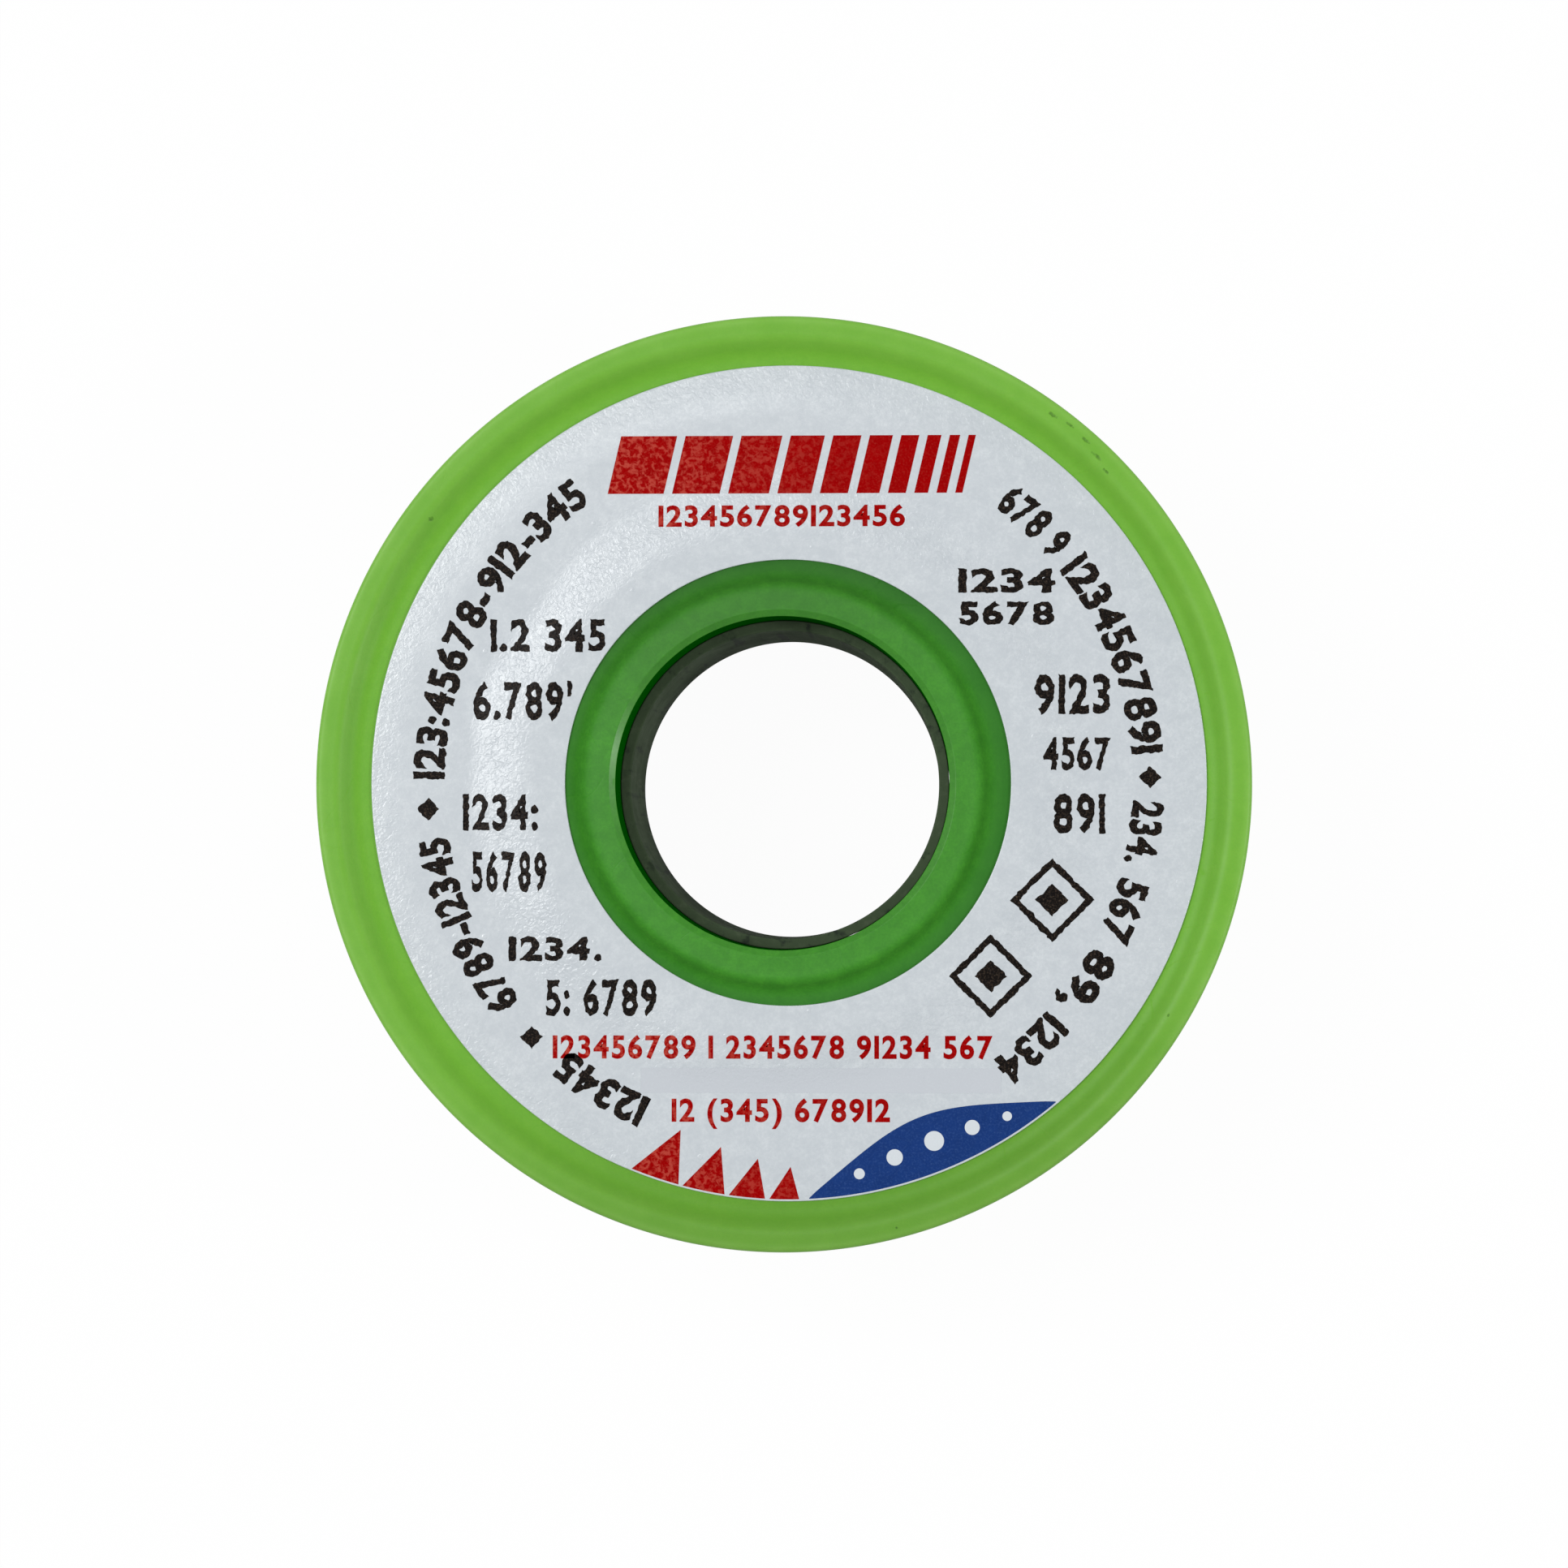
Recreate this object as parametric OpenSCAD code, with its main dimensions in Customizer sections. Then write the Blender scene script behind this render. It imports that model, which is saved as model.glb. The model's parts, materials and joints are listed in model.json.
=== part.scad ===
// Spool of thin solder wire: two rimmed flanges pressed on a hub made in two halves,
// a tube that joins the halves and lines the bore, the wound wire and an annular label.
// The bore lies along Z, the labelled face looks up, and the spool stands on z = 0.

/* [Flanges] */
// Outside diameter of both flanges
flange_d = 55; // [54:0.5:62]
// Width of the whole spool, rim to rim
spool_w = 20; // [18:0.5:34]
// Thickness of a flange's disc
web_t = 1.6; // [1.2:0.1:2.2]
// Radial width of the raised rim
rim_w = 1.7; // [1.3:0.1:2]
// Height of the rim and the hub collar above the label's seat
rim_h = 0.7; // [0.65:0.05:1.1]
// Height of the rim above the disc on the wire's side
rim_inner_h = 0.3; // [0.1:0.05:0.6]
// Radius of the rim's edges
rim_round = 0.5; // [0.3:0.05:0.6]
// Size of the slope at the foot of the rim
rim_foot = 0.3; // [0.1:0.05:0.4]

/* [Hub] */
// Diameter of the drum that carries the wire
drum_d = 31; // [30.4:0.2:33]
// Thickness of the drum's wall
drum_wall = 1.5; // [1.2:0.1:1.7]
// Width of the drum's shoulder that a flange rests on
shoulder_w = 0.9; // [0.8:0.05:1.05]
// Diameter of the bore through the hub
hub_bore_d = 19.6; // [18:0.2:20.4]
// Thickness of the sleeve around the bore
sleeve_wall = 2; // [1.6:0.1:2.2]
// How far the hub's end disc reaches into the drum past the flange
end_disc_step = 0.6; // [0.4:0.1:1.4]
// Radius of the collar's edges
collar_round = 0.3; // [0.15:0.05:0.4]
// Size of the slope at the foot of the collar
collar_foot = 0.25; // [0.1:0.05:0.35]
// Number of ribs inside each half
rib_count = 6; // [3:1:9]
// Thickness of a rib
rib_t = 1.2; // [0.8:0.1:1.8]
// Number of pegs that register the halves
peg_count = 3; // [2:1:4]
// Diameter of a peg
peg_d = 1.2; // [0.8:0.1:1.3]
// Length of a peg past the joint
peg_l = 2; // [1:0.25:3]
// Number of keys that stop a flange turning
key_count = 4; // [2:1:6]
// Width of a key
key_w = 3; // [2:0.25:4]
// Height of a key above the spigot
key_h = 0.5; // [0.3:0.05:0.6]

/* [Core tube] */
// Wall of the tube that lines the bore
tube_wall = 0.6; // [0.4:0.05:1.2]
// Depth of the tube's ends below the collars
tube_recess = 4; // [1:0.1:6]

/* [Solder] */
// Diameter of the wire
wire_d = 0.5; // [0.4:0.02:0.6]
// Diameter over the wound wire
winding_d = 46.8; // [40:0.2:47.4]
// Clear gap between the open turns of the outer layer
turn_gap = 0.45; // [0.42:0.01:0.6]
// Radius of the bends at the ends of the outer layer
bend_r = 0.75; // [0.6:0.05:1]
// Diameter of the hole that the free end is tucked through
wire_hole_d = 1.2; // [1.1:0.05:1.4]
// Length of the free end on the outside of the rear flange
tail_l = 7; // [4:0.5:12]
// Direction of the wire hole, seen from the labelled face
wire_hole_angle = 45; // [30:1:60]

/* [Label] */
// Bare width of the seat between the label and the rim
label_rim_margin = 1.25; // [0.8:0.05:2]
// Bare width of the seat between the label and the collar
label_collar_margin = 1.3; // [0.8:0.05:1.8]
// Thickness of the label
label_t = 0.15; // [0.08:0.01:0.25]
// How far the label was stuck to one side along X
label_shift_x = 0.3; // [-0.3:0.05:0.3]
// How far the label was stuck to one side along Y
label_shift_y = 0.05; // [-0.3:0.05:0.3]

/* [Fits] */
// Radial clearance between pressed parts
press_gap = 0.02; // [0.01:0.01:0.05]
// Clearance of pegs and keys in their sockets
peg_gap = 0.05; // [0.02:0.01:0.1]
// Clearance around the wound wire
lay_gap = 0.05; // [0.02:0.01:0.1]

/* [Hidden] */
$fn = 96;

lime = [0.45, 0.69, 0.26];
deep_green = [0.28, 0.54, 0.22];
dark_grey = [0.18, 0.21, 0.17];
tin = [0.74, 0.75, 0.74];
label_white = [0.79, 0.82, 0.84];

merge = 0.2;               // how far fused shapes run into each other
mid_z = spool_w / 2;       // the plane where the hub halves meet
seat_z = rim_h + web_t;    // inner face of the rear flange's disc
flange_r = flange_d / 2;
rim_r = flange_r - rim_w;  // inner side of the rim
drum_r = drum_d / 2;
drum_inner_r = drum_r - drum_wall;
spigot_r = drum_r - shoulder_w;
bore_r = hub_bore_d / 2;
sleeve_r = bore_r + sleeve_wall;
disc_top_z = seat_z + end_disc_step;
tube_r = bore_r - press_gap;
label_r = rim_r - label_rim_margin;
label_hole_r = sleeve_r + label_collar_margin;

// Pegs and ribs stand in the ring between the sleeve and the drum
cavity_w = drum_inner_r - sleeve_r;
cavity_mid_r = (drum_inner_r + sleeve_r) / 2;
boss_r = cavity_w / 2 + merge;

// The winding and the outer layer's route
winding_r = winding_d / 2;
lay_r = winding_r - wire_d / 2;
wire_hole_r = (winding_r + rim_r) / 2;
stub_z = spool_w - seat_z - press_gap;
first_turn_z = stub_z - wire_d - bend_r;
last_turn_z = seat_z + wire_d + bend_r;
lay_w = first_turn_z - last_turn_z;
max_turns = 24;
turns = min(max_turns, floor(lay_w / (wire_d + turn_gap)));
turn_steps = 24;
// The inner layers stay inside the chords between the outer layer's points
inner_layers_r = (winding_r - wire_d) * cos(180 / turn_steps) - lay_gap;
bend_steps = 4;
lift_steps = 6;
lift_angle = 24;
tail_steps = 6;
tail_bend_r = 0.8 * wire_d;
tail_z = rim_h - wire_d / 2 - press_gap;
wire_sides = 6;
// Turns whose points are compared, and the packing that the mass is worked out with
half_turn = turn_steps / 2;
wire_fill = 0.79;
solder_density = 8.6;

// Angle, in degrees, of an arc of length s at radius r
function arc_angle(s, r) = s / r * 180 / PI;

// A point at radius r, angle a and height z
function at(r, a, z) = [r * cos(a), r * sin(a), z];

// Smooth rise from 0 to 1
function ease(t) = t * t * (3 - 2 * t);

hole_entry_angle = wire_hole_angle - arc_angle(bend_r, wire_hole_r);
lift_start_angle = hole_entry_angle - lift_angle;
lay_start_angle = lift_start_angle - 360 * turns;
stub_angle = lay_start_angle - arc_angle(bend_r, lay_r);

// The wire comes off the front flange along Z and bends into the first turn
stub_route = concat(
    [for (s = [0, wire_d]) at(lay_r, stub_angle, stub_z - s)],
    [for (k = [1:bend_steps])
        let (a = 90 * k / bend_steps)
        at(lay_r, stub_angle + arc_angle(bend_r * (1 - cos(a)), lay_r),
            first_turn_z + bend_r * (1 - sin(a)))]
);

// One layer of turns, from the front flange to the rear one
lay_route = [for (i = [1:turns * turn_steps])
    at(lay_r, lay_start_angle + 360 * i / turn_steps,
        first_turn_z - lay_w * i / (turns * turn_steps))];

// The last turn lifts off the winding towards the hole
lift_route = [for (k = [1:lift_steps])
    at(lay_r + (wire_hole_r - lay_r) * ease(k / lift_steps),
        lift_start_angle + lift_angle * k / lift_steps, last_turn_z)];

// It bends down through the hole and lies flat outside, in the recess of the flange
hole_route = concat(
    [for (k = [1:bend_steps])
        let (a = 90 * k / bend_steps)
        at(wire_hole_r, hole_entry_angle + arc_angle(bend_r * sin(a), wire_hole_r),
            last_turn_z - bend_r * (1 - cos(a)))],
    [for (k = [0:bend_steps])
        let (a = 90 * k / bend_steps)
        at(wire_hole_r,
            wire_hole_angle + arc_angle(tail_bend_r * (1 - cos(a)), wire_hole_r),
            tail_z + tail_bend_r * (1 - sin(a)))],
    [for (k = [1:tail_steps])
        at(wire_hole_r,
            wire_hole_angle + arc_angle(tail_bend_r + tail_l * k / tail_steps, wire_hole_r),
            tail_z)]
);

wire_route = concat(stub_route, lay_route, lift_route, hole_route);

// Least clear gap between stretches of a route that are half a turn or more apart
function least_gap(p) = min([
    for (i = [0:len(p) - 1], j = [i + half_turn:1:len(p) - 1]) norm(p[i] - p[j])
]) - wire_d;

echo(outer_turns = turns, least_gap_mm = least_gap(wire_route));

winding_volume = PI * (pow(winding_r, 2) - pow(drum_r, 2)) * (spool_w - 2 * seat_z);
solder_volume = winding_volume * wire_fill;
echo(
    solder_g = solder_volume / 1000 * solder_density,
    wire_m = solder_volume / (PI * pow(wire_d / 2, 2)) / 1000
);

function unit(v) = v / norm(v);

// Direction of a route at its point i
function heading(p, i) = unit(p[min(i + 1, len(p) - 1)] - p[max(i - 1, 0)]);

// Outward direction from the bore, square to t
function outward(c, t) = let (n = [c.x, c.y, 0]) unit(n - (n * t) * t);

// One ring of the wire's surface around a point of its route
function wire_ring(p, i) =
    let (t = heading(p, i), n = outward(p[i], t), b = cross(t, n))
    [for (k = [0:wire_sides - 1])
        let (a = 360 * k / wire_sides) p[i] + wire_d / 2 * (cos(a) * n + sin(a) * b)];

// Round wire swept along a route, as one closed surface of triangles
module wire_along(p) {
    last = len(p) - 1;
    points = [for (i = [0:last]) each wire_ring(p, i)];
    sides = [for (i = [0:last - 1], k = [0:wire_sides - 1])
        let (a = i * wire_sides + k, b = i * wire_sides + (k + 1) % wire_sides)
        each [[a, a + wire_sides, b], [b, a + wire_sides, b + wire_sides]]];
    caps = [for (k = [1:wire_sides - 2])
        each [[0, k, k + 1],
            [last * wire_sides, last * wire_sides + k + 1, last * wire_sides + k]]];
    polyhedron(points = points, faces = concat(sides, caps));
}

// Bar in the r-z plane with four round corners
module round_bar(r0, r1, z0, z1, round) {
    translate([r0 + round, z0]) square([r1 - r0 - 2 * round, z1 - z0]);
    translate([r0, z0 + round]) square([r1 - r0, z1 - z0 - 2 * round]);
    for (r = [r0 + round, r1 - round], z = [z0 + round, z1 - round])
        translate([r, z]) circle(r = round);
}

// Bar in the r-z plane with round corners at its lower end
module round_foot_bar(r0, r1, z0, z1, round) {
    translate([r0 + round, z0]) square([r1 - r0 - 2 * round, z1 - z0]);
    translate([r0, z0 + round]) square([r1 - r0, z1 - z0 - round]);
    for (r = [r0 + round, r1 - round])
        translate([r, z0 + round]) circle(r = round);
}

// Ring with square edges
module ring(inner_r, outer_r, z0, z1) {
    translate([0, 0, z0]) difference() {
        cylinder(r = outer_r, h = z1 - z0);
        translate([0, 0, -merge]) cylinder(r = inner_r, h = z1 - z0 + 2 * merge);
    }
}

// Keys around the spigot, made larger by gap on every side for their notches
module keys(gap, z0, z1) {
    for (i = [0:key_count - 1])
        rotate(360 * (i + 0.5) / key_count)
            translate([spigot_r - 2 * merge, -key_w / 2 - gap, z0])
                cube([key_h + 2 * merge + gap, key_w + 2 * gap, z1 - z0]);
}

// Flange as it lies at the rear: its outer face is down
module flange() {
    rim_edge = min(rim_round, 0.45 * rim_w);
    difference() {
        rotate_extrude() {
            round_bar(rim_r, flange_r, 0, seat_z + rim_inner_h, rim_edge);
            polygon([
                [spigot_r + press_gap, rim_h], [rim_r - rim_foot, rim_h],
                [rim_r, rim_edge], [rim_r + rim_w / 2, rim_edge],
                [rim_r + rim_w / 2, seat_z], [spigot_r + press_gap, seat_z],
            ]);
        }
        keys(peg_gap, rim_h - merge, seat_z + merge);
    }
}

// Hub half as it lies at the rear: its collar is down
module hub_half() {
    foot_z = max(rim_h - collar_foot, collar_round);
    rotate_extrude() {
        round_foot_bar(bore_r, sleeve_r, 0, mid_z, collar_round);
        translate([drum_inner_r, seat_z]) square([drum_wall, mid_z - seat_z]);
        polygon([
            [sleeve_r - merge, foot_z], [sleeve_r, foot_z],
            [sleeve_r + collar_foot, rim_h], [spigot_r, rim_h],
            [spigot_r, disc_top_z], [sleeve_r - merge, disc_top_z],
        ]);
    }
    keys(0, rim_h, seat_z);
    for (i = [0:rib_count - 1])
        rotate(360 * i / rib_count)
            translate([sleeve_r - merge, -rib_t / 2, disc_top_z - merge])
                cube([cavity_w + 2 * merge, rib_t, mid_z - disc_top_z + merge - peg_gap]);
    at_pegs() translate([0, 0, disc_top_z - merge])
        cylinder(r = boss_r, h = mid_z - disc_top_z + merge);
}

// Places its children at the pegs
module at_pegs() {
    for (i = [0:peg_count - 1])
        rotate(360 * i / peg_count + 180 / rib_count)
            translate([cavity_mid_r, 0, 0])
                children();
}

// Turns a part of the rear half into the same part of the front half
module to_front() {
    translate([0, 0, spool_w]) mirror([0, 0, 1]) children();
}

module front_flange() {
    color(lime) to_front() flange();
}

module rear_flange() {
    color(lime) difference() {
        flange();
        translate([wire_hole_r * cos(wire_hole_angle), wire_hole_r * sin(wire_hole_angle), 0])
            cylinder(d = wire_hole_d, h = seat_z + merge);
    }
}

// The front half carries the pegs
module front_hub() {
    color(deep_green) {
        to_front() hub_half();
        at_pegs() translate([0, 0, mid_z - peg_l]) cylinder(d = peg_d, h = peg_l + merge);
    }
}

// The rear half has the pegs' sockets
module rear_hub() {
    color(deep_green) difference() {
        hub_half();
        at_pegs() translate([0, 0, mid_z - peg_l - peg_gap])
            cylinder(r = peg_d / 2 + peg_gap, h = peg_l + peg_gap + merge);
    }
}

module core_tube() {
    color(dark_grey) ring(tube_r - tube_wall, tube_r, tube_recess, spool_w - tube_recess);
}

module front_label() {
    color(label_white) translate([label_shift_x, label_shift_y, 0])
        ring(label_hole_r, label_r, spool_w - rim_h, spool_w - rim_h + label_t);
}

module solder_inner_layers() {
    color(tin) ring(drum_r + lay_gap, inner_layers_r, seat_z + press_gap, stub_z);
}

module solder_outer_layer() {
    color(tin) wire_along(wire_route);
}

front_flange();
rear_flange();
front_hub();
rear_hub();
core_tube();
front_label();
solder_inner_layers();
solder_outer_layer();
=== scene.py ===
"""A small spool of thin solder wire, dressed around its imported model.

The spool lies on its rear flange with the bore along Z and the labelled face up. Sizes are in millimetres
until a mesh is made, and every Blender mesh is in metres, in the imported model's own frame.
"""

import json
import logging
import math
import random
from dataclasses import dataclass, field
from enum import Enum
from typing import Callable, ClassVar, Sequence

import bmesh
import bpy
from mathutils import Matrix, Vector, geometry, noise


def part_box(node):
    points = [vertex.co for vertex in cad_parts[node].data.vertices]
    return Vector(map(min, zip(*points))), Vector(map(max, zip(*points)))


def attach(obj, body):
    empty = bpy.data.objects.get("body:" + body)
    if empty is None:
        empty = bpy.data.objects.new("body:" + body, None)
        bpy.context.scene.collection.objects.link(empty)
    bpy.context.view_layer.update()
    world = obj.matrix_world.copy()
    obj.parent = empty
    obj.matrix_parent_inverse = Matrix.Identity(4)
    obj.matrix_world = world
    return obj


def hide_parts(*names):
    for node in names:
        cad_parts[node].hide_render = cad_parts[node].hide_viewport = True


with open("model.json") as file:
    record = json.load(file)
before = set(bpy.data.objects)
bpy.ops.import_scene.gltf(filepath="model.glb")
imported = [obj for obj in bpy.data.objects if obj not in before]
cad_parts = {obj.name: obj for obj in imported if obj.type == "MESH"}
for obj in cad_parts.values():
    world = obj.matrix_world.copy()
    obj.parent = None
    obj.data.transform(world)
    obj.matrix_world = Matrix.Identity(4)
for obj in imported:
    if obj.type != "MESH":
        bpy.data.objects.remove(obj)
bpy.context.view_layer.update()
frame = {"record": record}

# A millimetre in metres.
MM = 0.001
# A hair's breadth in millimetres. It keeps lathed solids open on the axis and cutters clear of faces.
HAIR = 0.001
LOG = logging.getLogger("spool")

Point2 = tuple[float, float]
Point3 = tuple[float, float, float]
Rows = Sequence[Sequence[float]]
Colour = tuple[float, float, float, float]


def srgb(red: int, green: int, blue: int) -> Colour:
    """Turns a colour of 0 to 255 a channel into Blender's linear colour.

    Args:
        red: Red channel.
        green: Green channel.
        blue: Blue channel.

    Returns:
        The linear colour.
    """

    def linear(value: int) -> float:
        """Linear value of one channel."""
        share = value / 255
        return share / 12.92 if share <= 0.04045 else ((share + 0.055) / 1.055) ** 2.4

    return (linear(red), linear(green), linear(blue), 1.0)


def ease(share: float) -> float:
    """Smooth rise from 0 to 1, held at both ends."""
    t = min(1.0, max(0.0, share))
    return t * t * (3 - 2 * t)


def shares(steps: int) -> list[float]:
    """Shares of a way at the end of each of its equal steps."""
    return [k / steps for k in range(1, steps + 1)]


def polar(r: float, angle: float) -> Point2:
    """Point at a distance from the axis and an angle in degrees."""
    turn = math.radians(angle)
    return r * math.cos(turn), r * math.sin(turn)


def at(r: float, angle: float, z: float) -> Vector:
    """Point at a distance from the axis, an angle in degrees and a height."""
    return Vector((*polar(r, angle), z))


# --------------------------------------------------------------------------------------------------
# Sizes
# --------------------------------------------------------------------------------------------------


@dataclass(frozen=True)
class SpoolSizes:
    """Sizes that the pieces share, in millimetres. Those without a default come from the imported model."""

    flange_r: float
    width: float
    rim_h: float
    seat_z: float
    drum_r: float
    tube_r: float
    tube_z: float
    bore_r: float
    label_r: float
    label_hole_r: float
    label_t: float
    label_x: float
    label_y: float
    fit: float = 0.02
    rim_w: float = 1.7
    rim_inner_h: float = 0.3
    shoulder_w: float = 0.9
    hub_bore_r: float = 9.8
    sleeve_wall: float = 2.0
    drum_wall: float = 1.5
    end_disc_step: float = 0.6
    key_count: int = 4
    key_w: float = 3.0
    key_h: float = 0.5
    key_gap: float = 0.05
    wire_d: float = 0.5
    winding_r: float = 23.4
    wire_hole_d: float = 1.2
    wire_hole_angle: float = 45.0
    label_gap: float = 1.3

    @classmethod
    def from_frame(cls) -> "SpoolSizes":
        """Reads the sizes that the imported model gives.

        Returns:
            All the sizes.
        """
        _, flange_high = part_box("front_flange")
        label_low, label_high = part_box("front_label")
        _, hub_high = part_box("rear_hub")
        tube_low, tube_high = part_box("core_tube")
        inner_low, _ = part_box("solder_inner_layers")
        bore = next(m for m in frame["record"]["mounts"] if m["name"] == "spindle_bore")
        return cls(
            flange_r=flange_high.x / MM,
            width=flange_high.z / MM,
            rim_h=(flange_high.z - label_low.z) / MM,
            seat_z=inner_low.z / MM - cls.fit,
            drum_r=hub_high.x / MM,
            tube_r=tube_high.x / MM,
            tube_z=tube_low.z / MM,
            bore_r=bore["dims"]["r_mm"],
            label_r=(label_high.x - label_low.x) / 2 / MM,
            label_hole_r=cls.hub_bore_r + cls.sleeve_wall + cls.label_gap,
            label_t=(label_high.z - label_low.z) / MM,
            label_x=(label_high.x + label_low.x) / 2 / MM,
            label_y=(label_high.y + label_low.y) / 2 / MM,
        )

    @property
    def rim_r(self) -> float:
        """Inner side of the raised rim."""
        return self.flange_r - self.rim_w

    @property
    def disc_z(self) -> float:
        """Height of the inner face of the hub's end disc."""
        return self.seat_z + self.end_disc_step

    @property
    def drum_inner_r(self) -> float:
        """Inner radius of the hub's drum."""
        return self.drum_r - self.drum_wall

    @property
    def spigot_r(self) -> float:
        """Radius of the hub's spigot that a flange sits on."""
        return self.drum_r - self.shoulder_w

    @property
    def sleeve_r(self) -> float:
        """Outside of the sleeve around the bore, and of the collar."""
        return self.hub_bore_r + self.sleeve_wall

    @property
    def wire_hole_r(self) -> float:
        """Distance of the wire hole from the axis, midway between the winding and the rim."""
        return (self.winding_r + self.rim_r) / 2

    @property
    def lay_r(self) -> float:
        """Radius of the centreline of the wire's top layer."""
        return self.winding_r - self.wire_d / 2

    @property
    def key_angles(self) -> list[float]:
        """Angles of the hub's keys and the flanges' notches, in degrees."""
        return [360 * (number + 0.5) / self.key_count for number in range(self.key_count)]

    @property
    def label_top(self) -> float:
        """Height of the label's printed face."""
        return self.width - self.rim_h + self.label_t


# --------------------------------------------------------------------------------------------------
# Meshes
# --------------------------------------------------------------------------------------------------


@dataclass(frozen=True)
class Corner:
    """A corner of an outline in the plane of radius and height, and the radius that it is rounded to."""

    r: float
    z: float
    round: float = 0.0


def rounded(
    corners: Sequence[Corner],
    steps: int = 6,
    hold: float = 0.06,
    most: float = 0.49,
    least: float = 1e-4,
) -> list[Point2]:
    """Rounds the corners of a closed outline with arcs.

    Args:
        corners: The outline's corners in order.
        steps: Number of chords in each arc.
        hold: Length of the straight stretch beside each arc, which keeps the shading of a flat face flat.
        most: Share of a side that the arc at one end of it may take up.
        least: Reach under which a corner stays sharp.

    Returns:
        The points of the rounded outline, in the same order.
    """
    points: list[Point2] = []
    for i, corner in enumerate(corners):
        here = Vector((corner.r, corner.z))
        before = Vector((corners[i - 1].r, corners[i - 1].z)) - here
        after_corner = corners[(i + 1) % len(corners)]
        after = Vector((after_corner.r, after_corner.z)) - here
        half = before.angle(after) / 2
        limit = most * min(before.length, after.length)
        reach = min(corner.round / math.tan(half), limit)
        if reach < least:
            points.append((here.x, here.y))
            continue
        middle = (before.normalized() + after.normalized()).normalized()
        centre = here + middle * (reach / math.cos(half))
        start = here + before.normalized() * reach - centre
        end = here + after.normalized() * reach - centre
        sweep = math.pi - 2 * half
        arc = []
        for k in range(steps + 1):
            t = k / steps
            spoke = (math.sin((1 - t) * sweep) * start + math.sin(t * sweep) * end) / math.sin(sweep)
            arc.append(centre + spoke)
        if reach + hold < most * before.length:
            arc.insert(0, arc[0] + before.normalized() * hold)
        if reach + hold < most * after.length:
            arc.append(arc[-1] + after.normalized() * hold)
        points += [(point.x, point.y) for point in arc]
    return points


def linked(name: str, data: bpy.types.ID) -> bpy.types.Object:
    """Makes an object of some data and links it to the scene.

    Args:
        name: Name of the object.
        data: Its mesh, text, lamp or camera.

    Returns:
        The object.
    """
    made = bpy.data.objects.new(name, data)
    bpy.context.scene.collection.objects.link(made)
    return made


def evaluated(made: bpy.types.Object) -> bpy.types.Mesh:
    """A new mesh of an object, with its modifiers applied."""
    depsgraph = bpy.context.evaluated_depsgraph_get()
    return bpy.data.meshes.new_from_object(made.evaluated_get(depsgraph))


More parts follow.
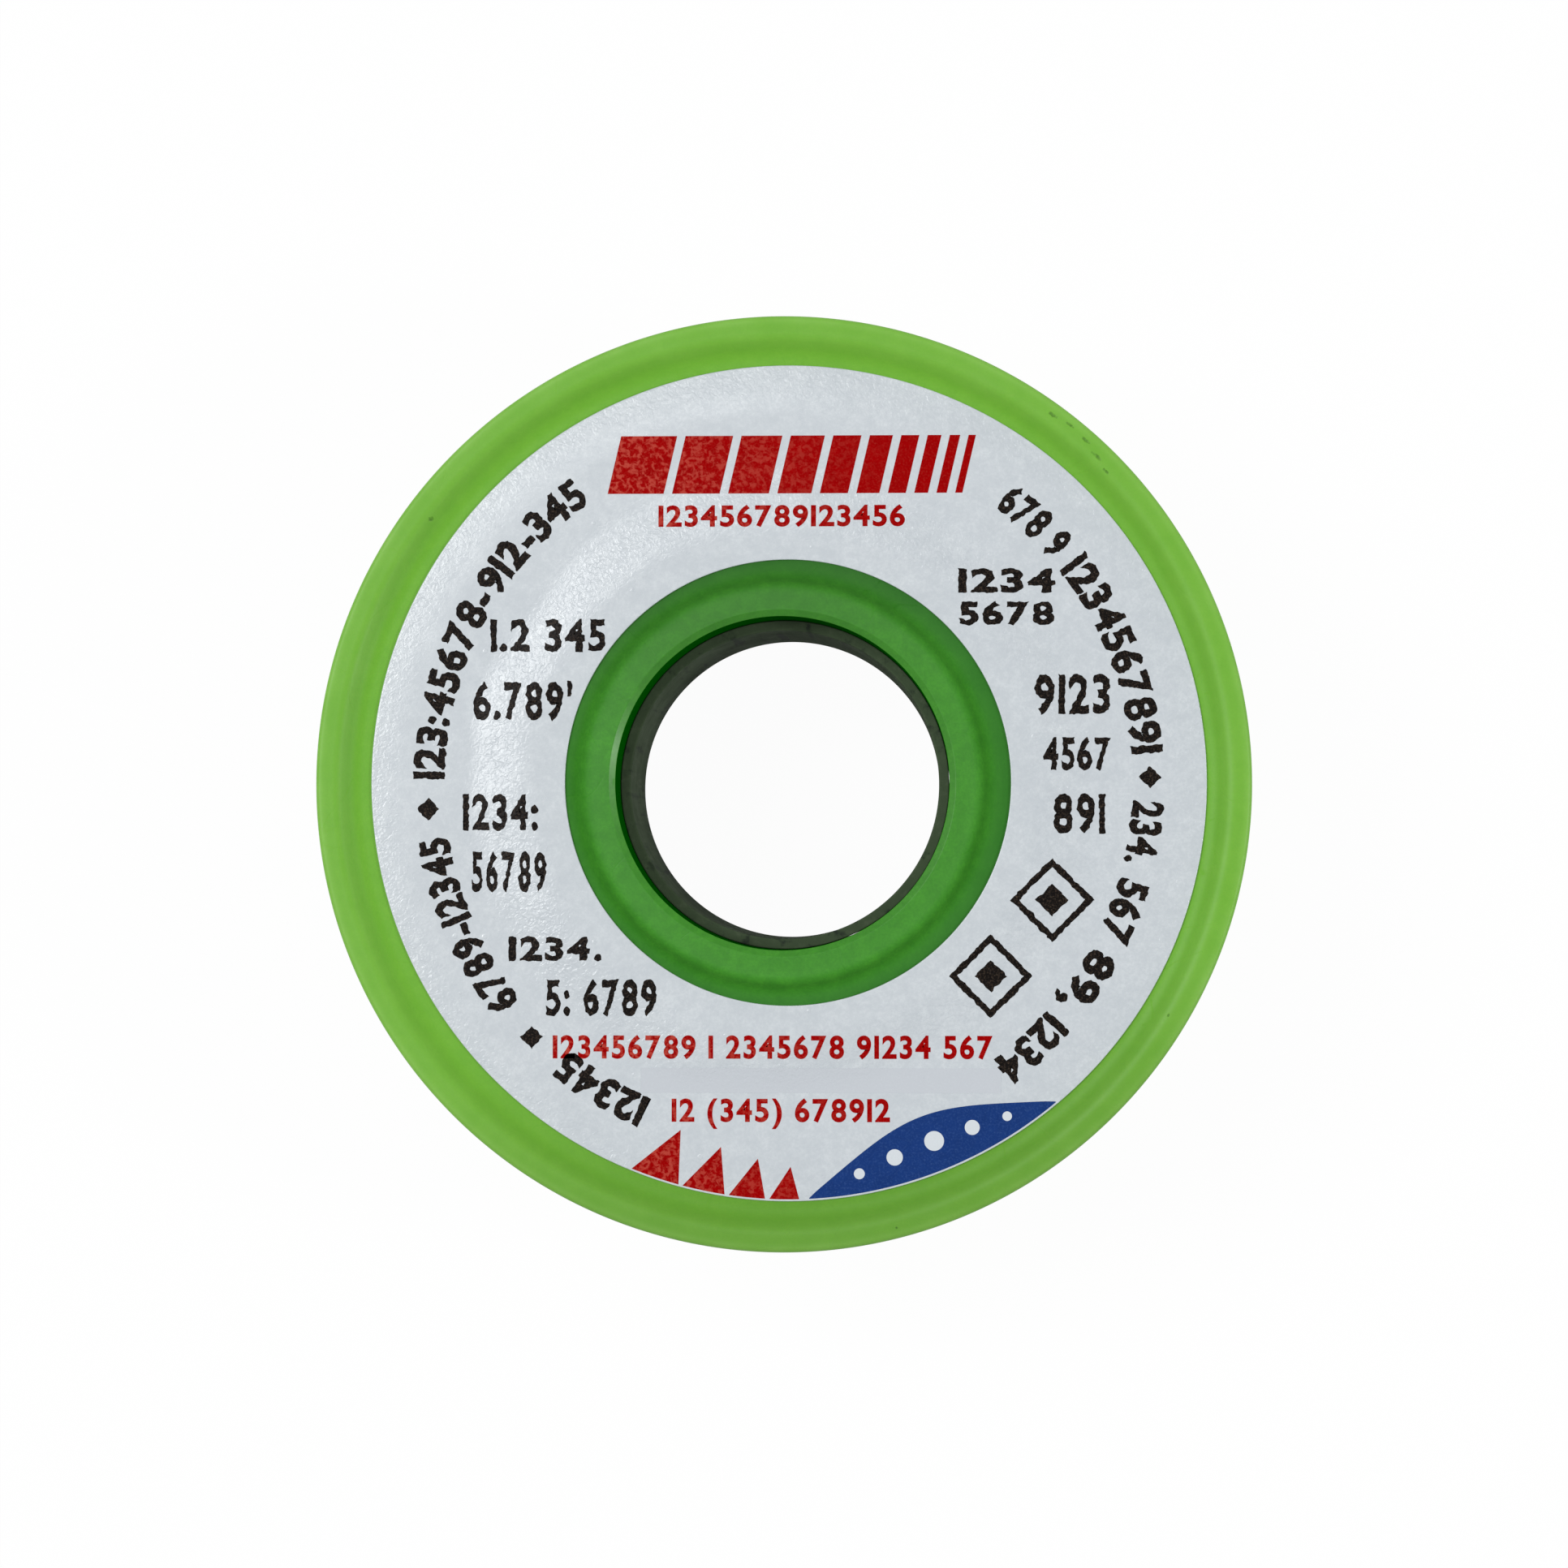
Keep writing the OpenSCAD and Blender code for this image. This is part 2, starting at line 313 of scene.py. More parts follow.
class Solid:
    """Builds closed meshes and makes them into objects."""

    sharp_angle = math.radians(32)

    @staticmethod
    def from_parts(name: str, vertices: Rows, faces: Sequence[Sequence[int]]) -> bpy.types.Object:
        """Makes an object from vertices in millimetres.

        Args:
            name: Name of the object and its mesh.
            vertices: Corner points, in millimetres.
            faces: Corner numbers of each face.

        Returns:
            The new object, linked to the scene.
        """
        mesh = bpy.data.meshes.new(name)
        mesh.from_pydata([[c * MM for c in v] for v in vertices], [], [list(f) for f in faces])
        edited = bmesh.new()
        edited.from_mesh(mesh)
        bmesh.ops.recalc_face_normals(edited, faces=edited.faces)
        edited.to_mesh(mesh)
        edited.free()
        made = linked(name, mesh)
        Solid.smooth(made)
        return made

    @staticmethod
    def smooth(made: bpy.types.Object) -> None:
        """Shades an object smooth apart from its sharp edges."""
        made.data.shade_smooth()
        made.data.set_sharp_from_angle(angle=Solid.sharp_angle)

    @staticmethod
    def lathe(name: str, outline: Sequence[Point2], segments: int) -> bpy.types.Object:
        """Turns a closed outline round the Z axis.

        Args:
            name: Name of the object.
            outline: Points of radius and height, in millimetres.
            segments: Number of steps round the axis.

        Returns:
            The turned object.
        """
        count = len(outline)
        vertices = []
        faces = []
        for j in range(segments):
            angle = math.tau * j / segments
            vertices += [(r * math.cos(angle), r * math.sin(angle), z) for r, z in outline]
        for j in range(segments):
            here, there = j * count, (j + 1) % segments * count
            for i in range(count):
                k = (i + 1) % count
                faces.append((here + i, there + i, there + k, here + k))
        return Solid.from_parts(name, vertices, faces)

    @staticmethod
    def block(name: str, low: Point3, high: Point3, flare: float = 0.0) -> bpy.types.Object:
        """Makes a block whose lower end is wider, or narrower, by a flare along Y and at its far X.

        Args:
            name: Name of the object.
            low: Lowest corner, in millimetres.
            high: Highest corner, in millimetres.
            flare: How far the lower end stands out; the flare is as high as it is wide.

        Returns:
            The block.
        """
        rows = [(low[2], 0.0), (high[2], 0.0)]
        if flare:
            rows = [(low[2], flare), (low[2] + abs(flare), 0.0), (high[2], 0.0)]
        vertices = []
        for z, out in rows:
            vertices += [
                (low[0], low[1] - out, z),
                (high[0] + out, low[1] - out, z),
                (high[0] + out, high[1] + out, z),
                (low[0], high[1] + out, z),
            ]
        faces = [(0, 3, 2, 1)]
        for row in range(len(rows) - 1):
            a = 4 * row
            faces += [(a + i, a + (i + 1) % 4, a + 4 + (i + 1) % 4, a + 4 + i) for i in range(4)]
        top = 4 * (len(rows) - 1)
        faces.append((top, top + 1, top + 2, top + 3))
        return Solid.from_parts(name, vertices, faces)

    @staticmethod
    def blocks(
        name: str, low: Point3, high: Point3, angles: Sequence[float], flare: float = 0.0
    ) -> list[bpy.types.Object]:
        """Blocks between two corners, each turned about the axis by one of the angles."""
        return [Solid.turned_about(Solid.block(name, low, high, flare), angle) for angle in angles]

    @staticmethod
    def rod(name: str, r: float, low: float, high: float, segments: int) -> bpy.types.Object:
        """A rod on the axis between two heights, made as a tube with a pinhole."""
        return Solid.lathe(name, [(HAIR, low), (r, low), (r, high), (HAIR, high)], segments)

    @staticmethod
    def moved_out(made: bpy.types.Object, r: float, degrees: float = 0.0) -> bpy.types.Object:
        """Moves an object's mesh out from the axis.

        Args:
            made: The object.
            r: How far, in millimetres.
            degrees: The angle at which it moves.

        Returns:
            The same object.
        """
        x, y = polar(r, degrees)
        made.data.transform(Matrix.Translation((x * MM, y * MM, 0)))
        return made

    @staticmethod
    def turned_about(made: bpy.types.Object, degrees: float) -> bpy.types.Object:
        """Turns an object's mesh about the spool's axis."""
        made.data.transform(Matrix.Rotation(math.radians(degrees), 4, "Z"))
        return made

    @staticmethod
    def flipped(made: bpy.types.Object, width: float) -> bpy.types.Object:
        """Mirrors an object's mesh from the rear face of a spool to its front face.

        Args:
            made: The object.
            width: Width of the spool, in millimetres.

        Returns:
            The same object.
        """
        made.data.transform(Matrix.Translation((0, 0, width * MM)) @ Matrix.Diagonal((1, 1, -1, 1)))
        made.data.flip_normals()
        return made


class Join(Enum):
    """How a tool acts on the piece that it is put to."""

    CUT = "DIFFERENCE"
    ADD = "UNION"


def work(piece: bpy.types.Object, tools: Sequence[bpy.types.Object], join: Join) -> None:
    """Cuts or adds tools, applies the result and removes the tools.

    Args:
        piece: The object to work on.
        tools: The cutting or added solids.
        join: Whether they cut or add.
    """
    for number, tool in enumerate(tools):
        step = piece.modifiers.new(f"{join.name.lower()}_{number}", "BOOLEAN")
        step.operation = join.value
        step.solver = "EXACT"
        step.object = tool
    mesh = evaluated(piece)
    mesh.name = piece.name
    piece.modifiers.clear()
    piece.data = mesh
    for tool in tools:
        bpy.data.objects.remove(tool)
    Solid.smooth(piece)


@dataclass
class Flat:
    """A flat figure of points in the label's plane, in millimetres, and the faces between them."""

    points: list[Point2]
    faces: list[tuple[int, ...]]
    raggedness: ClassVar[float] = 4.5

    @classmethod
    def from_loops(cls, *loops: Sequence[Point2]) -> "Flat":
        """Fills an outline.

        Args:
            loops: The outline, and the holes in it.

        Returns:
            The filled figure.
        """
        rows = [[Vector((x, y, 0)) for x, y in loop] for loop in loops]
        faces = [tuple(face) for face in geometry.tessellate_polygon(rows)]
        return cls([point for loop in loops for point in loop], faces)

    @classmethod
    def disc(cls, x: float, y: float, r: float, sides: int = 32) -> "Flat":
        """A disc about a point."""
        return cls.from_loops(circle(x, y, r, sides))

    @classmethod
    def bar(cls, x0: float, x1: float, y0: float, y1: float, slant: float = 0.0) -> "Flat":
        """A bar between two corners, its upper side shifted by a slant."""
        return cls.from_loops([(x0, y0), (x1, y0), (x1 + slant, y1), (x0 + slant, y1)])

    def placed(self, place: Callable[[float, float], Point2]) -> "Flat":
        """The figure with each point moved by a function."""
        return Flat([place(x, y) for x, y in self.points], self.faces)

    def sides(self) -> list[tuple[int, int]]:
        """Point numbers of each side that only one face has."""
        all_sides = {side for face in self.faces for side in zip(face, face[1:] + face[:1])}
        return [(a, b) for a, b in all_sides if (b, a) not in all_sides]

    def ragged(self, step: float, amount: float) -> "Flat":
        """The figure with the uneven edges of ink that has dried on film.

        Args:
            step: Greatest distance between the points of an edge, in millimetres.
            amount: Scale of how far a point is off, in millimetres.

        Returns:
            The figure with more points on its outline, each a little off.
        """
        rims, points, faces = set(self.sides()), list(self.points), []
        for face in self.faces:
            turned = []
            for a, b in zip(face, face[1:] + face[:1]):
                (x0, y0), (x1, y1) = self.points[a], self.points[b]
                cuts = math.ceil(math.hypot(x1 - x0, y1 - y0) / step) if (a, b) in rims else 1
                turned.append(a)
                for k in range(1, cuts):
                    turned.append(len(points))
                    points.append((x0 + (x1 - x0) * k / cuts, y0 + (y1 - y0) * k / cuts))
            faces.append(tuple(turned))

        def off(x: float, y: float) -> Point2:
            """Moves a point by a fine noise."""
            by = noise.noise_vector(Vector((x, y, 0)) * self.raggedness)
            return x + amount * by.x, y + amount * by.y

        return Flat(points, faces).placed(off)


def lozenge(x: float, y: float, reach: float, hollow: float = 0.0) -> Flat:
    """A diamond that reaches that far from a point, with a hollow if one is given."""
    loops = [[(x + r, y), (x, y + r), (x - r, y), (x, y - r)] for r in (reach, hollow) if r]
    return Flat.from_loops(*loops)


def circle(x: float, y: float, r: float, sides: int) -> list[Point2]:
    """Points of a circle about a point."""
    spokes = [polar(r, 360 * k / sides) for k in range(sides)]
    return [(x + across, y + up) for across, up in spokes]


def plates(name: str, figures: Sequence[Flat], low: float, high: float) -> bpy.types.Object:
    """Gives flat figures a thickness, as closed plates in one object.

    Args:
        name: Name of the object.
        figures: The figures.
        low: Height of the plates' lower faces, in millimetres.
        high: Height of their upper faces.

    Returns:
        The object that holds all the plates.
    """
    vertices: list[Point3] = []
    faces: list[tuple[int, ...]] = []
    for figure in figures:
        base, count = len(vertices), len(figure.points)
        vertices += [(x, y, low) for x, y in figure.points]
        vertices += [(x, y, high) for x, y in figure.points]
        for face in figure.faces:
            faces.append(tuple(base + count + i for i in face))
            faces.append(tuple(base + i for i in reversed(face)))
        for a, b in sorted(figure.sides()):
            faces.append((base + a, base + b, base + count + b, base + count + a))
    return Solid.from_parts(name, vertices, faces)


# --------------------------------------------------------------------------------------------------
# Shader nodes
# --------------------------------------------------------------------------------------------------

Socket = bpy.types.NodeSocket
Feed = dict[str | int, object]


def titled(feed: dict[str, object]) -> Feed:
    """Turns plain argument names into the names of a node's inputs."""
    return {name.replace("_", " ").title(): value for name, value in feed.items()}


class Nodes:
    """Makes and links the nodes of one shader tree."""

    def __init__(self, tree: bpy.types.NodeTree) -> None:
        """Takes the tree to work in."""
        self.tree = tree

    @classmethod
    def fresh(cls, owner: bpy.types.Material | bpy.types.World) -> "Nodes":
        """Starts the shader tree of a material or a world.

        Args:
            owner: The material or world.

        Returns:
            Its nodes, of which there are none yet.
        """
        owner.use_nodes = True
        owner.node_tree.nodes.clear()
        return cls(owner.node_tree)

    def put(self, socket: Socket, value: object) -> None:
        """Gives an input a value, or a link where the value is a socket.

        Args:
            socket: The input.
            value: A socket, or a plain number, colour or vector.
        """
        if isinstance(value, Socket):
            self.tree.links.new(value, socket)
        else:
            socket.default_value = value

    def add(self, kind: str, feed: Feed | None = None, **settings: object) -> bpy.types.Node:
        """Adds a node.

        Args:
            kind: The node's type.
            feed: Values or sockets for its inputs, by name or number.
            settings: Values of its own properties.

        Returns:
            The node.
        """
        node = self.tree.nodes.new(kind)
        for name, value in settings.items():
            setattr(node, name, value)
        for key, value in (feed or {}).items():
            self.put(node.inputs[key], value)
        return node

    def group(self, tree: bpy.types.NodeTree, **feed: object) -> bpy.types.Node:
        """Places a node group with its own values, named with underscores for spaces."""
        return self.add("ShaderNodeGroup", titled(feed), node_tree=tree)

    def math(self, operation: str, *values: object, clamp: bool = False) -> Socket:
        """Result of a Math node on values or sockets."""
        node = self.add("ShaderNodeMath", dict(enumerate(values)), operation=operation, use_clamp=clamp)
        return node.outputs[0]

    def vector(self, operation: str, *values: object) -> Socket:
        """Result of a Vector Math node on vectors or sockets."""
        node = self.add("ShaderNodeVectorMath", dict(enumerate(values)), operation=operation)
        return node.outputs["Value" if operation == "DOT_PRODUCT" else "Vector"]

    def plus(self, value: object, other: Socket, share: object) -> Socket:
        """A value plus a share of another."""
        return self.math("MULTIPLY_ADD", other, share, value)

    def less(self, whole: object, value: object, clamp: bool = False) -> Socket:
        """What is left of a whole without a value."""
        return self.math("SUBTRACT", whole, value, clamp=clamp)

    def squares(self, first: Socket, second: Socket) -> Socket:
        """Sum of the squares of two values."""
        return self.math("MULTIPLY_ADD", first, first, self.math("MULTIPLY", second, second))

    def ramp(self, value: Socket, low: float, high: float, to: tuple[float, float] = (0.0, 1.0)) -> Socket:
        """Maps a value between low and high smoothly onto a range, which holds at both ends."""
        feed = {"Value": value, "From Min": low, "From Max": high, "To Min": to[0], "To Max": to[1]}
        return self.add("ShaderNodeMapRange", feed, interpolation_type="SMOOTHSTEP").outputs["Result"]

    def bell(self, value: Socket, middle: object, width: object) -> Socket:
        """One where a value is at the middle, and less away from it."""
        off = self.math("DIVIDE", self.less(value, middle), width)
        return self.math("EXPONENT", self.math("MULTIPLY", self.math("MULTIPLY", off, off), -1.0))

    def mix(self, share: object, first: object, second: object, blend: str = "MIX") -> Socket:
        """Mixes two colours by a share."""
        settings = {"data_type": "RGBA", "blend_type": blend, "clamp_factor": True}
        return self.add("ShaderNodeMix", {0: share, 6: first, 7: second}, **settings).outputs[2]

    def tint(self, colour: object, other: object, mask: Socket, share: object) -> Socket:
        """Mixes a colour with another by a share of a mask."""
        return self.mix(self.math("MULTIPLY", mask, share), colour, other)

    def place(self) -> Socket:
        """Place on the spool, in millimetres."""
        return self.vector("MULTIPLY", self.add("ShaderNodeTexCoord").outputs["Object"], (1 / MM,) * 3)

    def parts(self, place: Socket) -> Sequence[Socket]:
        """The X, Y and Z of a place."""
        return self.add("ShaderNodeSeparateXYZ", {0: place}).outputs

    def radius(self, place: Socket) -> Socket:
        """Distance of a place from the spool's axis."""
        x, y, _ = self.parts(place)
        return self.math("SQRT", self.squares(x, y))

    def noise(self, place: Socket, size: object, **feed: object) -> Socket:
        """Soft noise whose lumps are about a size across."""
        values = {"Vector": place, "Scale": self.math("DIVIDE", 1.0, size)} | titled(feed)
        return self.add("ShaderNodeTexNoise", values).outputs["Fac"]


class Effect:
    """A shader node group that several finishes use, built once."""

    def __init__(self, name: str, inputs: dict[str, float], outputs: Sequence[str]) -> None:
        """Makes the group's sockets.

        Args:
            name: Name of the group.
            inputs: Names of its inputs, with their usual values.
            outputs: Names of its outputs.
        """
        self.tree = bpy.data.node_groups.new(name, "ShaderNodeTree")
        for socket, value in inputs.items():
            made = self.tree.interface.new_socket(name=socket, in_out="INPUT", socket_type="NodeSocketFloat")
            made.default_value = value
        for socket in outputs:
            self.tree.interface.new_socket(name=socket, in_out="OUTPUT", socket_type="NodeSocketFloat")
        self.nodes = Nodes(self.tree)
        self.place = self.nodes.place()
        self.given = self.tree.nodes.new("NodeGroupInput").outputs
        self.result = self.tree.nodes.new("NodeGroupOutput").inputs

    def put_out(self, name: str, value: Socket) -> None:
        """Links a value to one of the group's outputs."""
        self.tree.links.new(value, self.result[name])


class Effects:
    """The node groups that the finishes share."""

    def __init__(self) -> None:
        """Builds every group."""
        self.grain = self._grain()
        self.specks = self._specks()
        self.scratches = self._scratches()
        self.ring = self._ring()
        self.relief = self._relief(self.specks)
        self.nick = self._nick()

    @staticmethod
    def _grain() -> bpy.types.NodeTree:
        """Fine moulded grain, and the slow drift of tone that flowing plastic leaves.

        Returns:
            The group.
        """
        sizes = {"Grain Size": 0.2, "Patch Size": 0.9, "Flow Size": 9.0}
        effect = Effect("moulded_grain", sizes, ["Height", "Patches", "Flow"])
        nodes, given, place = effect.nodes, effect.given, effect.place
        fine = nodes.noise(place, given["Grain Size"], detail=3.0, roughness=0.6)
        flow = nodes.noise(place, given["Flow Size"], detail=4.0, roughness=0.55, distortion=1.2)
        patches = nodes.noise(place, given["Patch Size"], detail=3.0, roughness=0.6, distortion=0.4)
        effect.put_out("Height", fine)
        effect.put_out("Patches", nodes.ramp(patches, 0.32, 0.68))
        effect.put_out("Flow", nodes.ramp(flow, 0.25, 0.75))
        return effect.tree

    @staticmethod
    def _specks() -> bpy.types.NodeTree:
        """Sparse specks of dust or dark grains: one in a few cells of a loose grid.

        Returns:
            The group.
        """
        effect = Effect("specks", {"Spacing": 2.0, "Size": 0.06, "Share": 0.5, "Seed": 0.0}, ["Mask"])
        nodes, given = effect.nodes, effect.given
        shift = nodes.add("ShaderNodeCombineXYZ", {axis: given["Seed"] for axis in range(3)}).outputs[0]
        moved = nodes.vector("ADD", effect.place, shift)
        feed = {"Vector": moved, "Scale": nodes.math("DIVIDE", 1.0, given["Spacing"]), "Randomness": 1.0}
        cells = nodes.add("ShaderNodeTexVoronoi", feed).outputs
        chance = nodes.add("ShaderNodeSeparateColor", {0: cells["Color"]}).outputs
        kept = nodes.math("LESS_THAN", chance[0], given["Share"])
        size = nodes.math("MULTIPLY", given["Size"], nodes.math("ADD", chance[1], 0.35))
        near = nodes.less(1.0, nodes.math("DIVIDE", cells["Distance"], size), clamp=True)
        effect.put_out("Mask", nodes.math("MULTIPLY", nodes.ramp(near, 0.0, 0.5), kept))
        return effect.tree

    @staticmethod
    def _scratches() -> bpy.types.NodeTree:
        """Hair lines: the thin contours of a smooth noise, broken up by a coarser one.

        Returns:
            The group.
        """
        effect = Effect("hair_scratches", {"Spread": 3.0, "Width": 0.012, "Share": 0.5}, ["Mask"])
        nodes, given, place = effect.nodes, effect.given, effect.place
        lines = nodes.noise(place, given["Spread"], detail=0.0, distortion=0.6)
        off = nodes.math("ABSOLUTE", nodes.less(lines, 0.5))
        thin = nodes.less(1.0, nodes.math("DIVIDE", off, given["Width"]), clamp=True)
        breaks = nodes.noise(place, nodes.math("MULTIPLY", given["Spread"], 0.5), detail=2.0)
        kept = nodes.math("GREATER_THAN", breaks, nodes.less(1.0, given["Share"]))
        effect.put_out("Mask", nodes.math("MULTIPLY", thin, kept))
        return effect.tree

    @staticmethod
    def _ring() -> bpy.types.NodeTree:
        """A soft ring about the spool's axis, broken a little along its length.

        Returns:
            The group.
        """
        effect = Effect("soft_ring", {"Radius": 20.0, "Width": 0.5, "Breaks": 0.3}, ["Mask"])
        nodes, given, place = effect.nodes, effect.given, effect.place
        bell = nodes.bell(nodes.radius(place), given["Radius"], given["Width"])
        uneven = nodes.noise(place, 2.5, detail=3.0)
        dip = nodes.math("MULTIPLY", given["Breaks"], nodes.less(1.0, uneven))
        effect.put_out("Mask", nodes.math("MULTIPLY", bell, nodes.less(1.0, dip)))
        return effect.tree

    @staticmethod
    def _relief(specks: bpy.types.NodeTree) -> bpy.types.NodeTree:
        """How the label and its print lie.

        The film steps down over the hub's joint and falls off at its outer edge, most toward +Y. It has
        soft waves and a few bubbles, and it is crinkled along the step and the edge.

        Args:
            specks: The group that gives the bubbles.

        Returns:
            The group.
        """
        sizes = {"Step": 0.38, "Fall": 0.19, "Waves": 0.05, "Crinkle": 0.046, "Bubbles": 0.015}
        effect = Effect("label_relief", sizes | {"Film": 0.0035}, ["Height"])
        nodes, place = effect.nodes, effect.place
        radius = nodes.radius(place)
        over = nodes.plus(radius, nodes.noise(place, 7.0, detail=1.0), 1.6)
        edge = nodes.ramp(radius, 21.5, 26.5, (1.0, 0.0))
        more = nodes.ramp(nodes.parts(place)[1], 0.0, 24.0, (1.0, 2.2))
        crinkled = nodes.plus(nodes.bell(over, 17.4, 1.8), nodes.bell(radius, 24.4, 1.6), 0.8)
        crinkle = nodes.noise(place, 0.3, detail=1.0, roughness=0.5, distortion=1.0)
        heights = {
            "Step": nodes.ramp(over, 15.5, 19.3, (1.0, 0.0)),
            "Fall": nodes.math("MULTIPLY", edge, more),
            "Waves": nodes.noise(place, 5.0, detail=3.0, roughness=0.45),
            "Crinkle": nodes.math("MULTIPLY", crinkle, crinkled),
            "Bubbles": nodes.group(specks, spacing=1.3, size=0.11, share=0.4, seed=31.0).outputs[0],
            "Film": nodes.noise(place, 0.16, detail=2.0, roughness=0.7),
        }
        total: object = 0.0
        for name, height in heights.items():
            total = nodes.plus(total, height, effect.given[name])
        effect.put_out("Height", total)
        return effect.tree

    @staticmethod
    def _nick() -> bpy.types.NodeTree:
        """One short ragged mark on a face: its angle in degrees, its radius, and half its length and width.

        Returns:
            The group.
        """
        effect = Effect("nick", {"Angle": 0.0, "Radius": 26.5, "Length": 0.3, "Width": 0.1}, ["Mask"])
        nodes, given = effect.nodes, effect.given
        turn = nodes.math("MULTIPLY", nodes.math("RADIANS", given["Angle"]), -1.0)
        feed = {"Vector": effect.place, "Angle": turn}
        about = nodes.add("ShaderNodeVectorRotate", feed, rotation_type="Z_AXIS").outputs[0]
        x, y, _ = nodes.parts(about)
        out = nodes.math("DIVIDE", nodes.less(x, given["Radius"]), given["Width"])
        along = nodes.math("DIVIDE", y, given["Length"])
        ragged = nodes.plus(nodes.squares(out, along), nodes.noise(about, 0.25, detail=2.0), 1.6)
        effect.put_out("Mask", nodes.ramp(ragged, 0.7, 1.4, (1.0, 0.0)))
        return effect.tree


# --------------------------------------------------------------------------------------------------
# Finishes
# --------------------------------------------------------------------------------------------------


def scaled(colour: Colour, share: float) -> Colour:
    """A darker or lighter copy of a colour."""
    return (colour[0] * share, colour[1] * share, colour[2] * share, 1.0)


@dataclass(frozen=True)
class Look:
    """What a finish feeds to its shader: colour, roughness and height in millimetres, and plain values."""

    colour: Socket
    rough: Socket
    height: Socket
    plain: Feed


@dataclass(frozen=True)
class Finish:
    """A surface finish with one Principled shader. Each kind of finish has its own look."""

    name: str

    def look(self, nodes: Nodes, effects: Effects) -> Look:
        """What the shader is fed. Each kind of finish builds its own."""
        raise NotImplementedError

    def material(self, effects: Effects) -> bpy.types.Material:
        """Builds the material.

        Args:
            effects: The shared node groups.

        Returns:
            The material.
        """
        material = bpy.data.materials.new(self.name)
        nodes = Nodes.fresh(material)
        look = self.look(nodes, effects)
        bump = nodes.add("ShaderNodeBump", {"Strength": 1.0, "Distance": MM, "Height": look.height})
        feed = {"Base Color": look.colour, "Roughness": look.rough, "Normal": bump.outputs[0]}
        surface = nodes.add("ShaderNodeBsdfPrincipled", feed | look.plain)
        nodes.add("ShaderNodeOutputMaterial", {"Surface": surface.outputs[0]})
        return material


@dataclass(frozen=True)
class Ring:
    """A ring on a face, about the spool's axis: its radius and width in millimetres, and its strength."""

    radius: float
    width: float
    strength: float


@dataclass(frozen=True)
class Nick:
    """A knock on a moulded edge: its angle in degrees, and its radius, length and width in millimetres."""

    angle: float
    radius: float
    length: float
    width: float


@dataclass(frozen=True)
class Shade:
    """A side painted darker, as painted shade where less light falls: its angle, the stretch it grows along,
    and its share.
    """

    angle: float
    start: float
    end: float
    share: float


@dataclass(frozen=True)
class MouldedPlastic(Finish):
    """Moulded, slightly translucent plastic.

    The colour is painted deeper in the hollows, as painted shade with some grime. The ridges are painted
    paler, a painted sheen, one side can be painted darker as painted shade, and the dull rings have no
    shine.
    """

    colour: Colour
    deep: Colour
    pale: Colour
    roughness: float = 0.42
    hollows: tuple[Ring, ...] = ()
    ridges: tuple[Ring, ...] = ()
    dull: tuple[Ring, ...] = ()
    nicks: tuple[Nick, ...] = ()
    shades: tuple[Shade, ...] = ()
    gloss: float = 0.25
    inner_glow: float = 0.15
    glow_depths: tuple[float, float, float] = (0.5, 1.0, 0.25)
    mottle: float = 1.0

    def look(self, nodes: Nodes, effects: Effects) -> Look:
        """Builds the plastic's colour, roughness and height.

        Args:
            nodes: The material's nodes.
            effects: The shared node groups.

        Returns:
            What feeds the shader.
        """

        def mask(ring: Ring, breaks: float) -> Socket:
            """Mask of a ring, broken along its length by a share."""
            return nodes.group(effects.ring, radius=ring.radius, width=ring.width, breaks=breaks).outputs[0]

        grain = nodes.group(effects.grain, grain_size=0.16, flow_size=7.0).outputs
        fine = nodes.ramp(grain["Height"], 0.35, 0.65)
        colour = nodes.tint(self.colour, self.deep, grain["Flow"], 0.14)
        colour = nodes.tint(colour, self.deep, grain["Patches"], 0.2 * self.mottle)
        colour = nodes.tint(colour, self.deep, fine, 0.16 * self.mottle)
        rough = nodes.plus(self.roughness, grain["Flow"], 0.06)
        # Painted shade, with some grime: the colour is deeper, and the surface rougher, in the hollows.
        for ring in self.hollows:
            hollow = mask(ring, 0.3)
            colour = nodes.tint(colour, self.deep, hollow, ring.strength)
            rough = nodes.plus(rough, hollow, 0.4 * ring.strength)
        for ring in self.dull:
            rough = nodes.plus(rough, mask(ring, 0.1), ring.strength)
        # Painted sheen: the ridges are painted paler.
        for ring in self.ridges:
            colour = nodes.tint(colour, self.pale, mask(ring, 0.9), ring.strength)
        # Painted shade: the colour is darker toward one side.
        for shade in self.shades:
            turn, left = math.radians(shade.angle), 1.0 - shade.share
            toward = nodes.vector("DOT_PRODUCT", nodes.place(), (math.cos(turn), math.sin(turn), 0))
            darker = nodes.mix(1.0, colour, (left, left, left, 1), "MULTIPLY")
            colour = nodes.mix(nodes.ramp(toward, shade.start, shade.end), colour, darker)
        dust = nodes.group(effects.specks, spacing=2.6, size=0.035, share=0.4, seed=3.0).outputs[0]
        dirt = nodes.group(effects.specks, spacing=4.3, size=0.026, share=0.35, seed=11.0).outputs[0]
        marks = nodes.group(effects.scratches, spread=5.0, width=0.006, share=0.5).outputs[0]
        colour = nodes.tint(colour, scaled(self.deep, 0.3), dirt, 0.75)
        colour = nodes.tint(colour, self.pale, dust, 0.3)
        height = nodes.plus(nodes.math("MULTIPLY", grain["Height"], 0.0035), marks, -0.004)
        for nick in self.nicks:
            rubbed = nodes.group(effects.nick, **vars(nick)).outputs[0]
            colour = nodes.tint(colour, scaled(self.deep, 0.45), rubbed, 0.7)
            height = nodes.plus(height, rubbed, -0.03)
        plain = {
            "Subsurface Weight": self.inner_glow,
            "Subsurface Radius": self.glow_depths,
            "Subsurface Scale": MM,
            "Specular IOR Level": self.gloss,
        }
        return Look(colour, nodes.plus(rough, marks, 0.15), height, plain)


